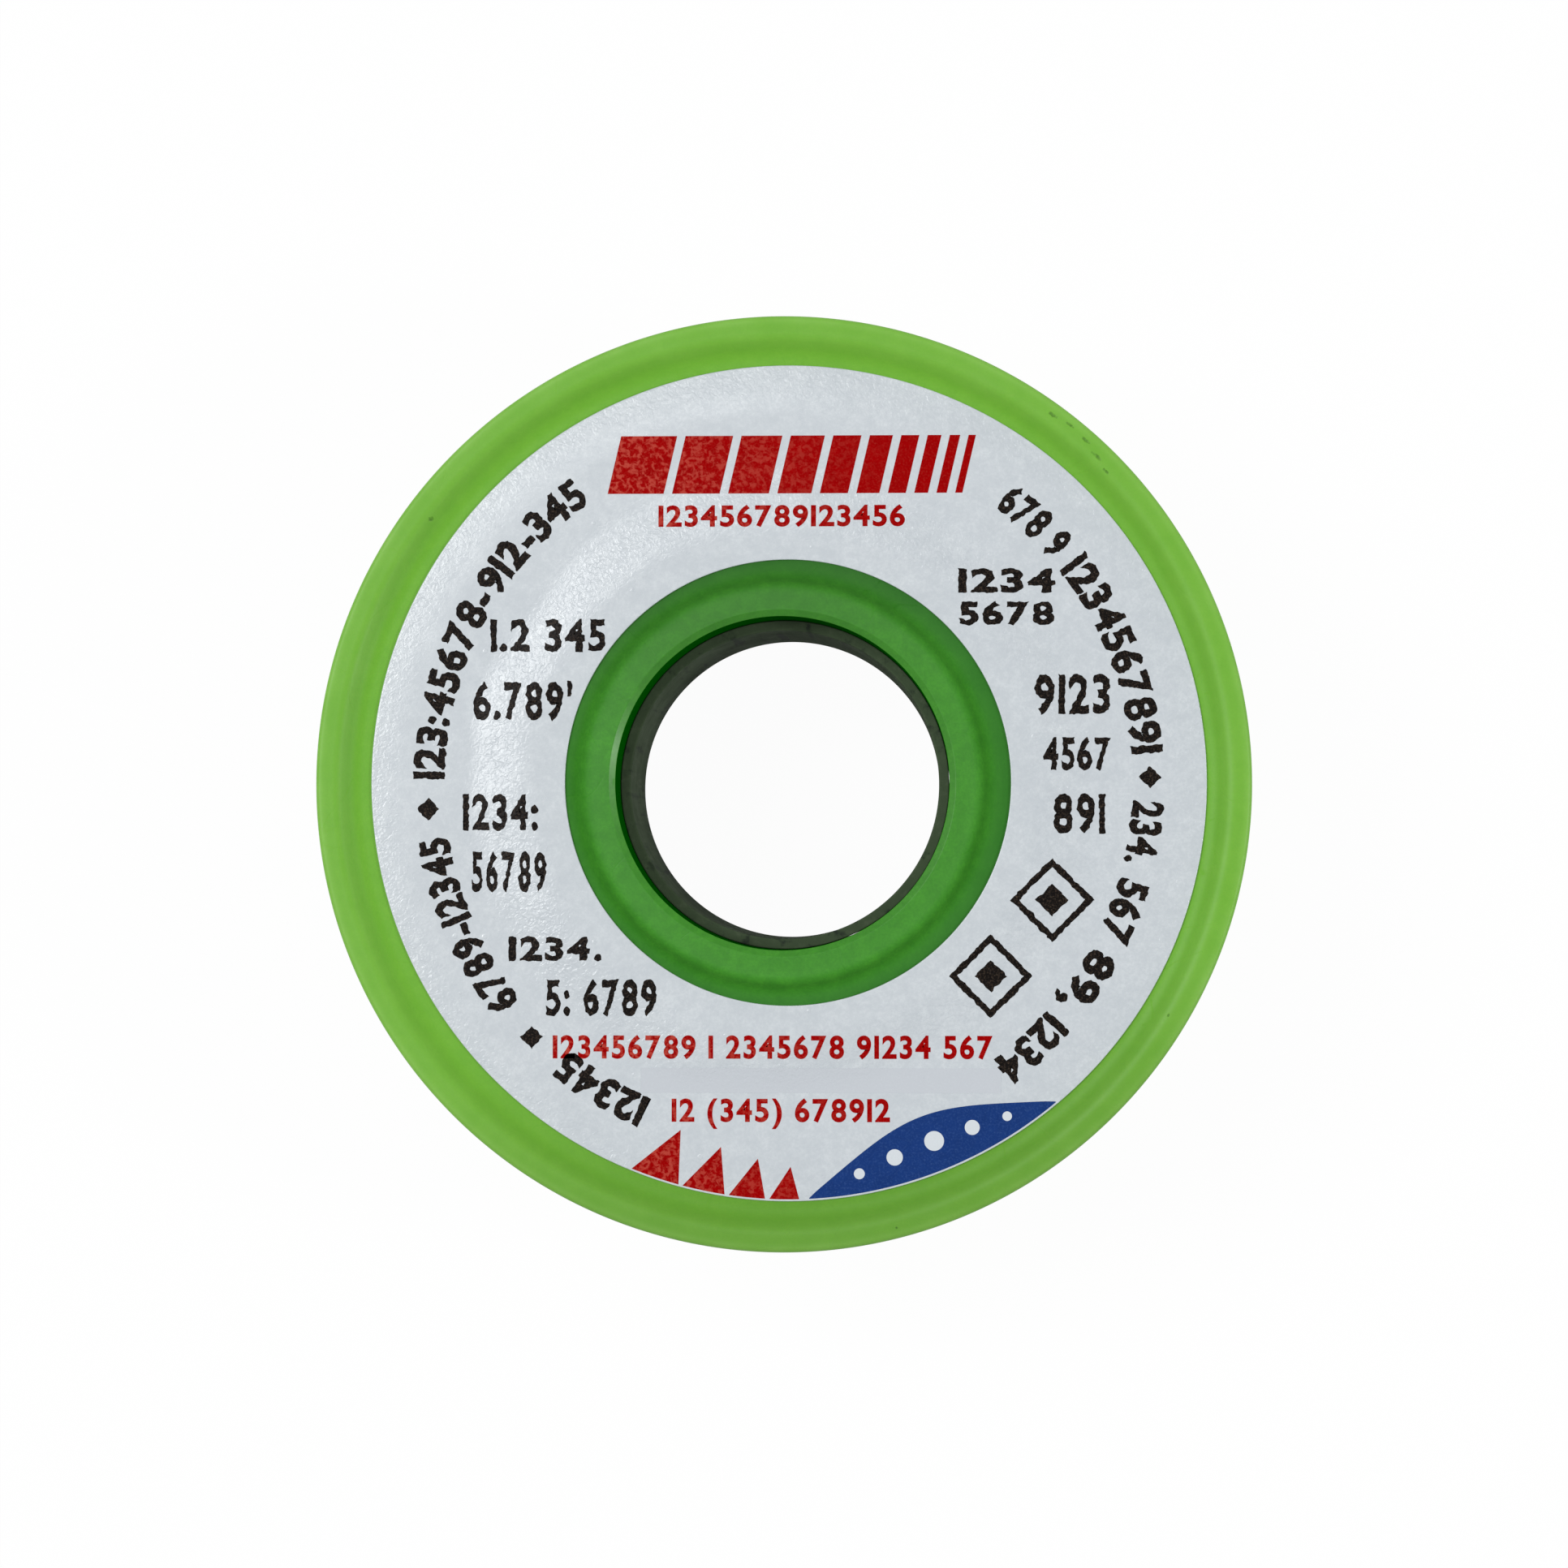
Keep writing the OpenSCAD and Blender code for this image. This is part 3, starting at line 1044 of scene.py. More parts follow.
@dataclass(frozen=True)
class TubePlastic(Finish):
    """Dull, dark extruded plastic, mottled and speckled."""

    name: str = "core_tube_dull_black"
    colour: Colour = srgb(74, 89, 66)
    light: Colour = srgb(94, 105, 84)
    dark: Colour = srgb(42, 49, 44)
    roughness: float = 0.8
    gloss: float = 0.08

    def look(self, nodes: Nodes, effects: Effects) -> Look:
        """Builds the tube's colour, roughness and height.

        Args:
            nodes: The material's nodes.
            effects: The shared node groups.

        Returns:
            What feeds the shader.
        """
        grain = nodes.group(effects.grain, grain_size=0.22, flow_size=2.2).outputs
        drawn = nodes.vector("MULTIPLY", nodes.place(), (1, 1, 0.07))
        blots = nodes.ramp(nodes.noise(drawn, 0.9, detail=3.0, roughness=0.6), 0.56, 0.74)
        lights = nodes.ramp(nodes.noise(drawn, 0.5, detail=2.0, roughness=0.6), 0.5, 0.8)
        colour = nodes.tint(self.colour, self.dark, grain["Flow"], 0.2)
        colour = nodes.tint(colour, self.light, lights, 0.4)
        colour = nodes.tint(colour, self.dark, blots, 0.8)
        rough = nodes.plus(self.roughness, grain["Flow"], 0.15)
        height = nodes.math("MULTIPLY", grain["Height"], 0.012)
        return Look(colour, rough, height, {"Specular IOR Level": self.gloss})


@dataclass(frozen=True)
class LabelFilm(Finish):
    """Bluish white label stock under a satin film."""

    name: str = "label_satin_film"
    colour: Colour = srgb(203, 209, 213)
    cool: Colour = srgb(179, 186, 192)
    roughness: float = 0.22
    gloss: float = 0.55
    coat: float = 0.2
    coat_roughness: float = 0.36

    def look(self, nodes: Nodes, effects: Effects) -> Look:
        """Builds the film's colour, roughness and height.

        Args:
            nodes: The material's nodes.
            effects: The shared node groups.

        Returns:
            What feeds the shader.
        """
        grain = nodes.group(effects.grain, grain_size=0.17, patch_size=0.7, flow_size=3.2).outputs
        fine = nodes.ramp(grain["Height"], 0.32, 0.68)
        dust = nodes.group(effects.specks, spacing=3.1, size=0.02, share=0.3, seed=7.0).outputs[0]
        colour = nodes.tint(self.colour, self.cool, grain["Flow"], 0.4)
        colour = nodes.tint(colour, self.cool, grain["Patches"], 0.4)
        colour = nodes.tint(colour, self.cool, fine, 0.5)
        colour = nodes.tint(colour, scaled(self.cool, 0.35), dust, 0.35)
        rough = nodes.plus(self.roughness, fine, 0.06)
        relief = nodes.group(effects.relief).outputs[0]
        plain = {
            "Specular IOR Level": self.gloss,
            "Coat Weight": self.coat,
            "Coat Roughness": self.coat_roughness,
        }
        return Look(colour, rough, relief, plain)


@dataclass(frozen=True)
class PrintInk(Finish):
    """Printed ink under the label's film, a little uneven in its cover, with paler patches painted toward -X
    as a painted sheen.
    """

    colour: Colour
    thin: Colour
    mottle: float = 0.45
    roughness: float = 0.3
    speckle: float = 0.6
    worn: float = 0.0
    gloss: float = 0.06

    def look(self, nodes: Nodes, effects: Effects) -> Look:
        """Builds the ink's colour, roughness and height.

        Args:
            nodes: The material's nodes.
            effects: The shared node groups.

        Returns:
            What feeds the shader.
        """
        grain = nodes.group(effects.grain, grain_size=0.12, patch_size=0.32, flow_size=0.8).outputs
        patchy = nodes.ramp(grain["Height"], 0.45, 0.8)
        # Painted sheen: patches of the thin colour, which grow toward -X.
        sheen_patches = nodes.ramp(grain["Patches"], 0.3, 1.0)
        side = nodes.ramp(nodes.parts(nodes.place())[0], -12.0, 9.0, (self.worn, 0.0))
        colour = nodes.tint(self.colour, scaled(self.colour, 0.72), grain["Flow"], self.mottle)
        colour = nodes.tint(colour, self.thin, patchy, self.speckle)
        colour = nodes.tint(colour, self.thin, sheen_patches, side)
        rough = nodes.plus(self.roughness, patchy, 0.12)
        relief = nodes.group(effects.relief).outputs[0]
        return Look(colour, rough, relief, {"Specular IOR Level": self.gloss})


@dataclass(frozen=True)
class SolderMetal(Finish):
    """Drawn tin alloy: bright, with fine die lines, faint tarnish and dull spots."""

    name: str = "solder_drawn_tin"
    bright: Colour = srgb(205, 206, 204)
    dull: Colour = srgb(152, 154, 154)
    roughness: float = 0.24

    def look(self, nodes: Nodes, effects: Effects) -> Look:
        """Builds the metal's colour, roughness and height.

        Args:
            nodes: The material's nodes.
            effects: The shared node groups.

        Returns:
            What feeds the shader.
        """
        grain = nodes.group(effects.grain, grain_size=0.09, flow_size=12.0).outputs
        along = nodes.vector("MULTIPLY", nodes.place(), (0.16, 0.16, 2.6))
        turns = nodes.ramp(nodes.noise(along, 1.3, detail=2.0), 0.35, 0.7)
        spots = nodes.group(effects.specks, spacing=1.1, size=0.1, share=0.35, seed=23.0).outputs[0]
        marks = nodes.group(effects.scratches, spread=1.2, width=0.03, share=0.55).outputs[0]
        colour = nodes.tint(self.bright, self.dull, turns, 0.6)
        colour = nodes.tint(colour, scaled(self.dull, 0.8), grain["Flow"], 0.18)
        colour = nodes.tint(colour, scaled(self.dull, 0.6), spots, 0.45)
        rough = nodes.plus(nodes.plus(self.roughness, turns, 0.16), marks, 0.15)
        height = nodes.plus(nodes.math("MULTIPLY", grain["Height"], 0.006), marks, -0.003)
        return Look(colour, rough, height, {"Metallic": 1.0})


# --------------------------------------------------------------------------------------------------
# Sub-assemblies
# --------------------------------------------------------------------------------------------------


def fit_out(
    piece: bpy.types.Object, material: bpy.types.Material, replaces: Sequence[str] = ()
) -> None:
    """Gives a piece its finish, its place in the frame and the nodes that it stands for.

    Args:
        piece: The piece.
        material: Its material.
        replaces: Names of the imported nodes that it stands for.
    """
    piece.data.materials.clear()
    piece.data.materials.append(material)
    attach(piece, "root")
    if replaces:
        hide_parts(*replaces)
    LOG.info("%s: %d faces", piece.name, len(piece.data.polygons))


class End(Enum):
    """The two ends of the spool."""

    REAR = "rear"
    FRONT = "front"


@dataclass
class Flanges:
    """The two lime green flanges, each with a raised bead round its rim and a recessed seat."""

    sizes: SpoolSizes
    segments: int = 512
    valley_round: float = 1.3
    slope_start: float = 0.55
    bead_slope: float = 0.95
    bead_inner_round: float = 0.9
    bead_outer_round: float = 0.3
    lip_round: float = 0.25
    seat_round: float = 0.2
    hole_round: float = 0.03
    parting_line: float = 0.035
    parting_w: float = 0.1
    parting_foot_round: float = 0.02
    parting_top_round: float = 0.01
    hole_edge: float = 0.1
    pin_mark_count: int = 6
    pin_mark_r: float = 1.1
    pin_mark_depth: float = 0.06
    pin_mark_at: float = 20.6
    gate_r: float = 0.6
    gate_h: float = 0.12
    gate_r_out: float = 17.4
    gate_angle: float = 90.0
    gate_round: float = 0.06
    gate_segments: int = 32
    gate_root: float = 0.2
    hole_flare: float = 0.15
    lip_slope: float = 0.15
    overreach: float = 0.5
    cutter_segments: int = 48

    def outline(self) -> list[Point2]:
        """Outline of the rear flange, from the hole out along the outer face and back along the inner one.

        Returns:
            Points of radius and height.
        """
        s = self.sizes
        hole_r = s.spigot_r + s.fit
        inner_z = s.seat_z + s.rim_inner_h
        wall_r = s.flange_r - self.parting_line
        line_z = inner_z / 2
        return rounded(
            [
                Corner(hole_r, s.rim_h, self.hole_edge),
                Corner(s.rim_r - self.slope_start, s.rim_h, self.valley_round),
                Corner(s.rim_r - self.slope_start + self.bead_slope, 0.0, self.bead_inner_round),
                Corner(wall_r, 0.0, self.bead_outer_round),
                Corner(wall_r, line_z - self.parting_w, self.parting_foot_round),
                Corner(s.flange_r, line_z - self.parting_w / 4, self.parting_top_round),
                Corner(s.flange_r, line_z + self.parting_w / 4, self.parting_top_round),
                Corner(wall_r, line_z + self.parting_w, self.parting_foot_round),
                Corner(wall_r, inner_z, self.bead_outer_round),
                Corner(s.rim_r + self.lip_slope, inner_z, self.lip_round),
                Corner(s.rim_r - self.lip_slope, s.seat_z, self.seat_round),
                Corner(hole_r, s.seat_z, self.hole_round),
            ]
        )

    def notches(self) -> list[bpy.types.Object]:
        """Cutters for the notches that take the hub's keys.

        Returns:
            The cutters.
        """
        s = self.sizes
        half = s.key_w / 2 + s.key_gap
        low = (s.spigot_r - self.overreach, -half, s.rim_h - HAIR)
        high = (s.spigot_r + s.key_h + s.key_gap, half, s.seat_z + self.overreach)
        return Solid.blocks("notch", low, high, s.key_angles, self.hole_edge)

    def wire_hole(self) -> bpy.types.Object:
        """Cutter for the hole that the wire's free end goes through, flared at both faces.

        Returns:
            The cutter.
        """
        s = self.sizes
        r, flare = s.wire_hole_d / 2, self.hole_flare
        low, high = s.rim_h - 2 * flare, s.seat_z + 2 * flare
        rows = [
            (HAIR, low),
            (r + 3 * flare, low),
            (r + flare, s.rim_h),
            (r, s.rim_h + flare),
            (r, s.seat_z - flare),
            (r + flare, s.seat_z),
            (r + 3 * flare, high),
            (HAIR, high),
        ]
        cutter = Solid.lathe("wire_hole", rows, self.cutter_segments)
        return Solid.moved_out(cutter, s.wire_hole_r, s.wire_hole_angle)

    def pin_marks(self) -> list[bpy.types.Object]:
        """Cutters for the shallow round marks that the mould's ejector pins leave.

        Returns:
            The cutters.
        """
        low, high = self.sizes.rim_h - self.overreach, self.sizes.rim_h + self.pin_mark_depth
        made = []
        for i in range(self.pin_mark_count):
            cutter = Solid.rod("pin_mark", self.pin_mark_r, low, high, self.cutter_segments)
            made.append(Solid.moved_out(cutter, self.pin_mark_at, 360 * (i + 0.25) / self.pin_mark_count))
        return made

    def gate(self) -> bpy.types.Object:
        """The low stub where the plastic ran in.

        Returns:
            The stub.
        """
        low, high = self.sizes.rim_h - self.gate_h, self.sizes.rim_h + self.gate_root
        corners = [
            Corner(HAIR, low),
            Corner(self.gate_r, low, self.gate_round),
            Corner(self.gate_r, high),
            Corner(HAIR, high),
        ]
        stub = Solid.lathe("gate", rounded(corners, 3), self.gate_segments)
        return Solid.moved_out(stub, self.gate_r_out, self.gate_angle)

    def build(self, effects: Effects) -> None:
        """Builds and dresses both flanges.

        Args:
            effects: The shared node groups.
        """
        s = self.sizes
        knocks = (
            Nick(53.6, 26.75, 0.5, 0.16),
            Nick(51.2, 26.9, 0.36, 0.12),
            Nick(48.4, 26.8, 0.44, 0.14),
            Nick(46.0, 26.55, 0.6, 0.16),
            Nick(43.9, 26.3, 0.32, 0.13),
            Nick(143.0, 25.9, 0.24, 0.2),
            Nick(-31.0, 26.3, 0.16, 0.1),
        )
        common = {
            "colour": srgb(108, 170, 45),
            "deep": srgb(86, 152, 30),
            "pale": srgb(146, 194, 98),
            # Painted shade in the valley inside the rim, painted sheen on the rim's outer edge and on the
            # bead, and painted shade toward -Y.
            "hollows": (Ring(s.rim_r - 0.25, 0.3, 0.1),),
            "ridges": (Ring(s.flange_r - 0.2, 0.32, 0.6), Ring(s.rim_r + 0.5, 0.7, 0.25)),
            "shades": (Shade(-80.0, 11.0, 27.0, 0.23),),
        }
        for end in End:
            name = f"{end.value}_flange"
            piece = Solid.lathe(f"{name}_moulding", self.outline(), self.segments)
            if end is End.REAR:
                work(piece, [*self.notches(), self.wire_hole(), *self.pin_marks()], Join.CUT)
                work(piece, [self.gate()], Join.ADD)
            else:
                work(piece, self.notches(), Join.CUT)
                Solid.flipped(piece, s.width)
            finish = MouldedPlastic(f"{name}_lime", nicks=knocks if end is End.FRONT else (), **common)
            fit_out(piece, finish.material(effects), [name])


@dataclass
class Hub:
    """The deeper green hub in two halves, each with a collar, an end disc, a sleeve and a drum."""

    sizes: SpoolSizes
    segments: int = 384
    edge_round: float = 0.6
    bore_round: float = 0.05
    bevel_w: float = 0.38
    bevel_h: float = 0.22
    bevel_round: float = 0.05
    slope_w: float = 0.15
    foot_w: float = 0.4
    foot_round: float = 0.7
    seam_round: float = 0.1
    shoulder_round: float = 0.05
    inside_round: float = 0.3
    rib_count: int = 6
    rib_t: float = 1.2
    peg_count: int = 3
    peg_r: float = 0.6
    peg_l: float = 2.0
    peg_gap: float = 0.05
    peg_root: float = 0.5
    key_root: float = 0.1
    rib_drop: float = 0.1
    overlap: float = 0.2
    post_segments: int = 32
    wall_facing: float = 0.9
    wall_reach: float = 0.02

    def outline(self) -> list[Point2]:
        """Outline of the rear half: collar, end disc, drum and sleeve.

        Returns:
            Points of radius and height.
        """
        s = self.sizes
        middle, disc_z, inner_r = s.width / 2, s.disc_z, s.drum_inner_r
        return rounded(
            [
                Corner(s.hub_bore_r, self.bevel_h, self.bore_round),
                Corner(s.hub_bore_r + self.bevel_w, 0.0, self.bevel_round),
                Corner(s.sleeve_r - self.slope_w, 0.0, self.edge_round),
                Corner(s.sleeve_r + self.foot_w, s.rim_h, self.foot_round),
                Corner(s.spigot_r, s.rim_h, self.seam_round),
                Corner(s.spigot_r, s.seat_z),
                Corner(s.drum_r, s.seat_z, self.shoulder_round),
                Corner(s.drum_r, middle),
                Corner(inner_r, middle),
                Corner(inner_r, disc_z, self.inside_round),
                Corner(s.sleeve_r, disc_z, self.inside_round),
                Corner(s.sleeve_r, middle),
                Corner(s.hub_bore_r, middle),
            ]
        )

    def keys(self) -> list[bpy.types.Object]:
        """The keys that stop a flange turning on the hub.

        Returns:
            The keys.
        """
        s = self.sizes
        low = (s.spigot_r - 2 * self.overlap, -s.key_w / 2, s.rim_h)
        high = (s.spigot_r + s.key_h, s.key_w / 2, s.seat_z + self.key_root)
        return Solid.blocks("key", low, high, s.key_angles, -self.seam_round)

    def ribs(self) -> list[bpy.types.Object]:
        """The ribs between the sleeve and the drum.

        Returns:
            The ribs.
        """
        s = self.sizes
        low = (s.sleeve_r - self.overlap, -self.rib_t / 2, s.disc_z - self.overlap)
        high = (s.drum_inner_r + self.overlap, self.rib_t / 2, s.width / 2 - self.rib_drop)
        return Solid.blocks("rib", low, high, [360 * i / self.rib_count for i in range(self.rib_count)])

    def posts(self, r: float, low: float, high: float) -> list[bpy.types.Object]:
        """Round posts at the places of the pegs.

        Args:
            r: Their radius, in millimetres.
            low: Height of their lower ends.
            high: Height of their upper ends.

        Returns:
            The posts.
        """
        middle_r = (self.sizes.sleeve_r + self.sizes.drum_inner_r) / 2
        made = []
        for i in range(self.peg_count):
            post = Solid.moved_out(Solid.rod("post", r, low, high, self.post_segments), middle_r)
            made.append(Solid.turned_about(post, 360 * i / self.peg_count + 180 / self.rib_count))
        return made

    def on_bore_wall(self, face: bpy.types.MeshPolygon) -> bool:
        """Whether a face belongs to the bare wall of the bore and looks at the axis.

        Args:
            face: A face of a finished half.

        Returns:
            True if it does.
        """
        r = math.hypot(face.center.x, face.center.y)
        inward = face.normal.x * face.center.x + face.normal.y * face.center.y
        return inward < -self.wall_facing * r and r < (self.sizes.hub_bore_r + self.wall_reach) * MM

    def build(self, effects: Effects) -> None:
        """Builds and dresses both halves.

        Args:
            effects: The shared node groups.
        """
        s = self.sizes
        finish = MouldedPlastic(
            "hub_green",
            colour=srgb(61, 140, 29),
            deep=srgb(24, 98, 4),
            pale=srgb(120, 168, 104),
            roughness=0.32,
            mottle=1.5,
            dull=(Ring(s.sleeve_r + 0.1, 0.6, 0.55),),
            # Painted shade in the recessed band outside the collar, and toward +Y.
            hollows=(Ring(s.sleeve_r + 1.5, 1.1, 0.95),),
            gloss=0.32,
            shades=(Shade(100.0, 3.0, 12.0, 0.2),),
        ).material(effects)
        # The bore's wall gets a darker, more saturated copy of the hub's green: painted shade inside the
        # bore.
        wall = MouldedPlastic(
            "hub_bore_painted_shade",
            colour=srgb(2, 92, 2),
            deep=srgb(2, 80, 4),
            pale=srgb(40, 110, 30),
            roughness=0.9,
            gloss=0.0,
        ).material(effects)
        middle = s.width / 2
        boss_r = (s.drum_inner_r - s.sleeve_r) / 2 + self.overlap
        for end in End:
            name = f"{end.value}_hub"
            piece = Solid.lathe(f"{name}_moulding", self.outline(), self.segments)
            bosses = self.posts(boss_r, s.disc_z - self.overlap, middle)
            work(piece, self.keys() + self.ribs() + bosses, Join.ADD)
            if end is End.REAR:
                sockets = self.posts(self.peg_r + self.peg_gap, middle - self.peg_l, middle + self.peg_root)
                work(piece, sockets, Join.CUT)
            else:
                pegs = self.posts(self.peg_r, middle - self.peg_root, middle + self.peg_l - 2 * self.peg_gap)
                work(piece, pegs, Join.ADD)
                Solid.flipped(piece, s.width)
            fit_out(piece, finish, [name])
            # The faces of the bore's wall take the painted shade copy.
            piece.data.materials.append(wall)
            for face in piece.data.polygons:
                face.material_index = int(self.on_bore_wall(face))


@dataclass
class CoreTube:
    """The dark tube that lines the bore and holds the hub's halves together."""

    sizes: SpoolSizes
    segments: int = 256
    edge_round: float = 0.07

    def build(self, effects: Effects) -> None:
        """Builds and dresses the tube.

        Args:
            effects: The shared node groups.
        """
        s = self.sizes
        low, high = s.tube_z, s.width - s.tube_z
        places = ((s.bore_r, low), (s.tube_r, low), (s.tube_r, high), (s.bore_r, high))
        corners = [Corner(r, z, self.edge_round) for r, z in places]
        piece = Solid.lathe("core_tube_liner", rounded(corners, 3), self.segments)
        fit_out(piece, TubePlastic().material(effects), ["core_tube"])


@dataclass
class Winding:
    """The wound wire: a full layer, part of one over it, and the free end tucked through the rear flange."""

    sizes: SpoolSizes
    steps: int = 96
    sides: int = 10
    top_turns: int = 19
    side_gap: float = 0.03
    looseness: float = 1.01
    rise: float = 0.12
    climb: float = 0.25
    jog_share: float = 0.1
    jog_rise: float = 0.04
    jog_power: int = 8
    slip: float = 0.05
    slip_rate: float = 0.11
    radial_play: float = 0.012
    axial_play: float = 0.02
    wave_count: int = 5
    wave_rates: tuple[float, float] = (0.13, 2.9)
    wave_peak: float = 3.0
    run_off: float = 150.0
    run_rise: float = 0.07
    lift: float = 26.0
    lift_steps: int = 8
    bend_r: float = 0.75
    bend_steps: int = 5
    tail_bend_r: float = 0.4
    tail_l: float = 7.0
    tail_steps: int = 14
    tail_sway: float = 0.06
    tail_waves: float = 8.4
    pinch: float = 0.45
    core_gap: float = 0.05
    core_segments: int = 192
    ridge_steps: int = 5
    seed: int = 12

    def __post_init__(self) -> None:
        """Works out the pitch and the radii of the layers."""
        s = self.sizes
        room = s.width - 2 * s.seat_z - s.wire_d - 2 * self.side_gap
        self.under_turns = int(room / (s.wire_d * self.looseness)) + 1
        self.pitch = room / (self.under_turns - 1)
        self.low_z = s.seat_z + s.wire_d / 2 + self.side_gap
        self.nest = math.sqrt(s.wire_d**2 - (self.pitch / 2) ** 2)
        self.under_r = s.lay_r - self.nest
        self.random = random.Random(self.seed)

    def turn(self, count: float) -> float:
        """Whole turns laid after a number of turns, with the jog to the next one at the end of each."""
        whole = math.floor(count)
        return whole + ease((count - whole - 1 + self.jog_share) / self.jog_share)

    def wobble(self) -> Callable[[float], float]:
        """Draws a slow random wave.

        Returns:
            The wave's height for a number of turns, about one at its peaks.
        """
        draw = self.random.uniform
        waves = [(draw(*self.wave_rates), draw(0, math.tau)) for _ in range(self.wave_count)]

        def wave(count: float) -> float:
            """Height of the wave after a number of turns."""
            return sum(math.sin(count * rate * math.tau + start) for rate, start in waves) / self.wave_peak

        return wave

    def wound(self, start: float, total: float) -> list[Vector]:
        """Centreline of the turns on the drum: the full layer, the climb and the layer over it.

        Args:
            start: Angle at which the first turn starts, in degrees.
            total: Number of turns.

        Returns:
            Points in millimetres.
        """
        s = self.sizes
        radial, axial, drift = self.wobble(), self.wobble(), self.wobble()
        top_z = self.low_z + self.pitch * (self.under_turns - 1)
        points = []
        for i in range(int(total * self.steps)):
            count = i / self.steps
            slip = self.slip * drift(count * self.slip_rate)
            if count < self.under_turns:
                laid = min(self.turn(count + slip), self.under_turns - 1)
                r = self.under_r - s.wire_d * (1 - ease(count / self.rise))
                z = self.low_z + self.pitch * max(0.0, laid)
            else:
                over = count - self.under_turns
                climbed = ease(over / self.climb)
                laid = max(0.0, self.turn(max(0.0, over - self.climb) + slip))
                bump = math.sin(math.pi * (count % 1)) ** self.jog_power
                r = self.under_r + self.nest * climbed + self.jog_rise * bump
                z = top_z - self.pitch * (0.5 * climbed + laid)
            r += self.radial_play * radial(count)
            z += self.axial_play * axial(count)
            points.append(at(r, start + 360 * count, z))
        return points

    def tail(self, entry: float, leave_z: float) -> list[Vector]:
        """Centreline of the free end: down through the rear flange and along its outer face.

        Args:
            entry: Angle at which it bends down, in degrees.
            leave_z: Height at which it bends down.

        Returns:
            Points in millimetres.
        """
        s = self.sizes
        r, hole, low_z = s.wire_hole_r, s.wire_hole_angle, s.rim_h - s.wire_d / 2 - s.fit
        points = []
        for t in shares(self.bend_steps):
            a = math.pi / 2 * t
            along = math.degrees(self.bend_r * math.sin(a) / r)
            points.append(at(r, entry + along, leave_z - self.bend_r * (1 - math.cos(a))))
        for t in (0.0, *shares(self.bend_steps)):
            a = math.pi / 2 * t
            along = math.degrees(self.tail_bend_r * (1 - math.cos(a)) / r)
            points.append(at(r, hole + along, low_z + self.tail_bend_r * (1 - math.sin(a))))
        for t in shares(self.tail_steps):
            along = math.degrees((self.tail_bend_r + self.tail_l * t) / r)
            points.append(at(r + self.tail_sway * math.sin(self.tail_waves * t), hole + along, low_z))
        return points

    def path(self) -> list[Vector]:
        """Centreline of the wire, from its start on the drum to its cut end.

        Returns:
            Points in millimetres.
        """
        s = self.sizes
        entry = s.wire_hole_angle - math.degrees(self.bend_r / s.wire_hole_r)
        leave_z = s.seat_z + s.wire_d + self.bend_r
        total = self.under_turns + self.climb + self.top_turns
        start = entry - self.lift - self.run_off - 360 * total
        points = self.wound(start, total)
        last_z = points[-1].z
        for t in shares(int(self.steps * self.run_off / 360)):
            r = s.lay_r + self.run_rise * math.sin(math.pi * t)
            z = last_z + (leave_z - last_z) * ease(t)
            points.append(at(r, start + 360 * total + self.run_off * t, z))
        for t in shares(self.lift_steps):
            r = s.lay_r + (s.wire_hole_r - s.lay_r) * ease(t)
            points.append(at(r, entry - self.lift * (1 - t), leave_z))
        return points + self.tail(entry, leave_z)

    def sweep(self, name: str, path: Sequence[Vector]) -> bpy.types.Object:
        """Sweeps the wire's round section along a path, with its last stretch pinched by the cutters.

        Args:
            name: Name of the object.
            path: The centreline, in millimetres.

        Returns:
            The wire.
        """
        last = len(path) - 1
        vertices, faces = [], []
        for i, point in enumerate(path):
            along = (path[min(i + 1, last)] - path[max(i - 1, 0)]).normalized()
            out = Vector((point.x, point.y, 0))
            out = (out - out.dot(along) * along).normalized()
            side = along.cross(out)
            pinch = self.pinch if i == last else 1.0
            for k in range(self.sides):
                a = math.tau * (k + 0.5) / self.sides
                spoke = pinch * math.cos(a) * out + math.sin(a) * side
                vertices.append(point + self.sizes.wire_d / 2 * spoke)
        for i in range(last):
            for k in range(self.sides):
                a, b = i * self.sides + k, i * self.sides + (k + 1) % self.sides
                faces.append((a, a + self.sides, b + self.sides, b))
        faces.append(tuple(range(self.sides)))
        faces.append(tuple(last * self.sides + k for k in reversed(range(self.sides))))
        wire = Solid.from_parts(name, vertices, faces)
        wire.data.shade_smooth()
        return wire

    def core_outline(self) -> list[Point2]:
        """Outline of the layers below: the edge of each buried turn shows as a ridge.

        Returns:
            Points of radius and height.
        """
        s = self.sizes
        ridge_r, inner_r = self.under_r - self.nest, s.drum_r + self.core_gap
        low, high = s.seat_z + s.fit, s.width - s.seat_z - s.fit
        ridge: list[Point2] = []
        for k in range(self.under_turns - 1):
            middle = self.low_z + self.pitch * (k + 0.5)
            for step in range(self.ridge_steps):
                a = math.pi * (step + 0.5) / self.ridge_steps
                ridge.append((ridge_r + s.wire_d / 2 * math.sin(a), middle - s.wire_d / 2 * math.cos(a)))
        return [(inner_r, low), (ridge_r, low), *ridge, (ridge_r, high), (inner_r, high)]

    def build(self, effects: Effects) -> None:
        """Builds and dresses the wound wire.

        Args:
            effects: The shared node groups.
        """
        metal = SolderMetal().material(effects)
        core = Solid.lathe("solder_lower_layers", self.core_outline(), self.core_segments)
        fit_out(core, metal, ["solder_inner_layers"])
        wire = self.sweep("solder_wire", self.path())
        fit_out(wire, metal, ["solder_outer_layer"])


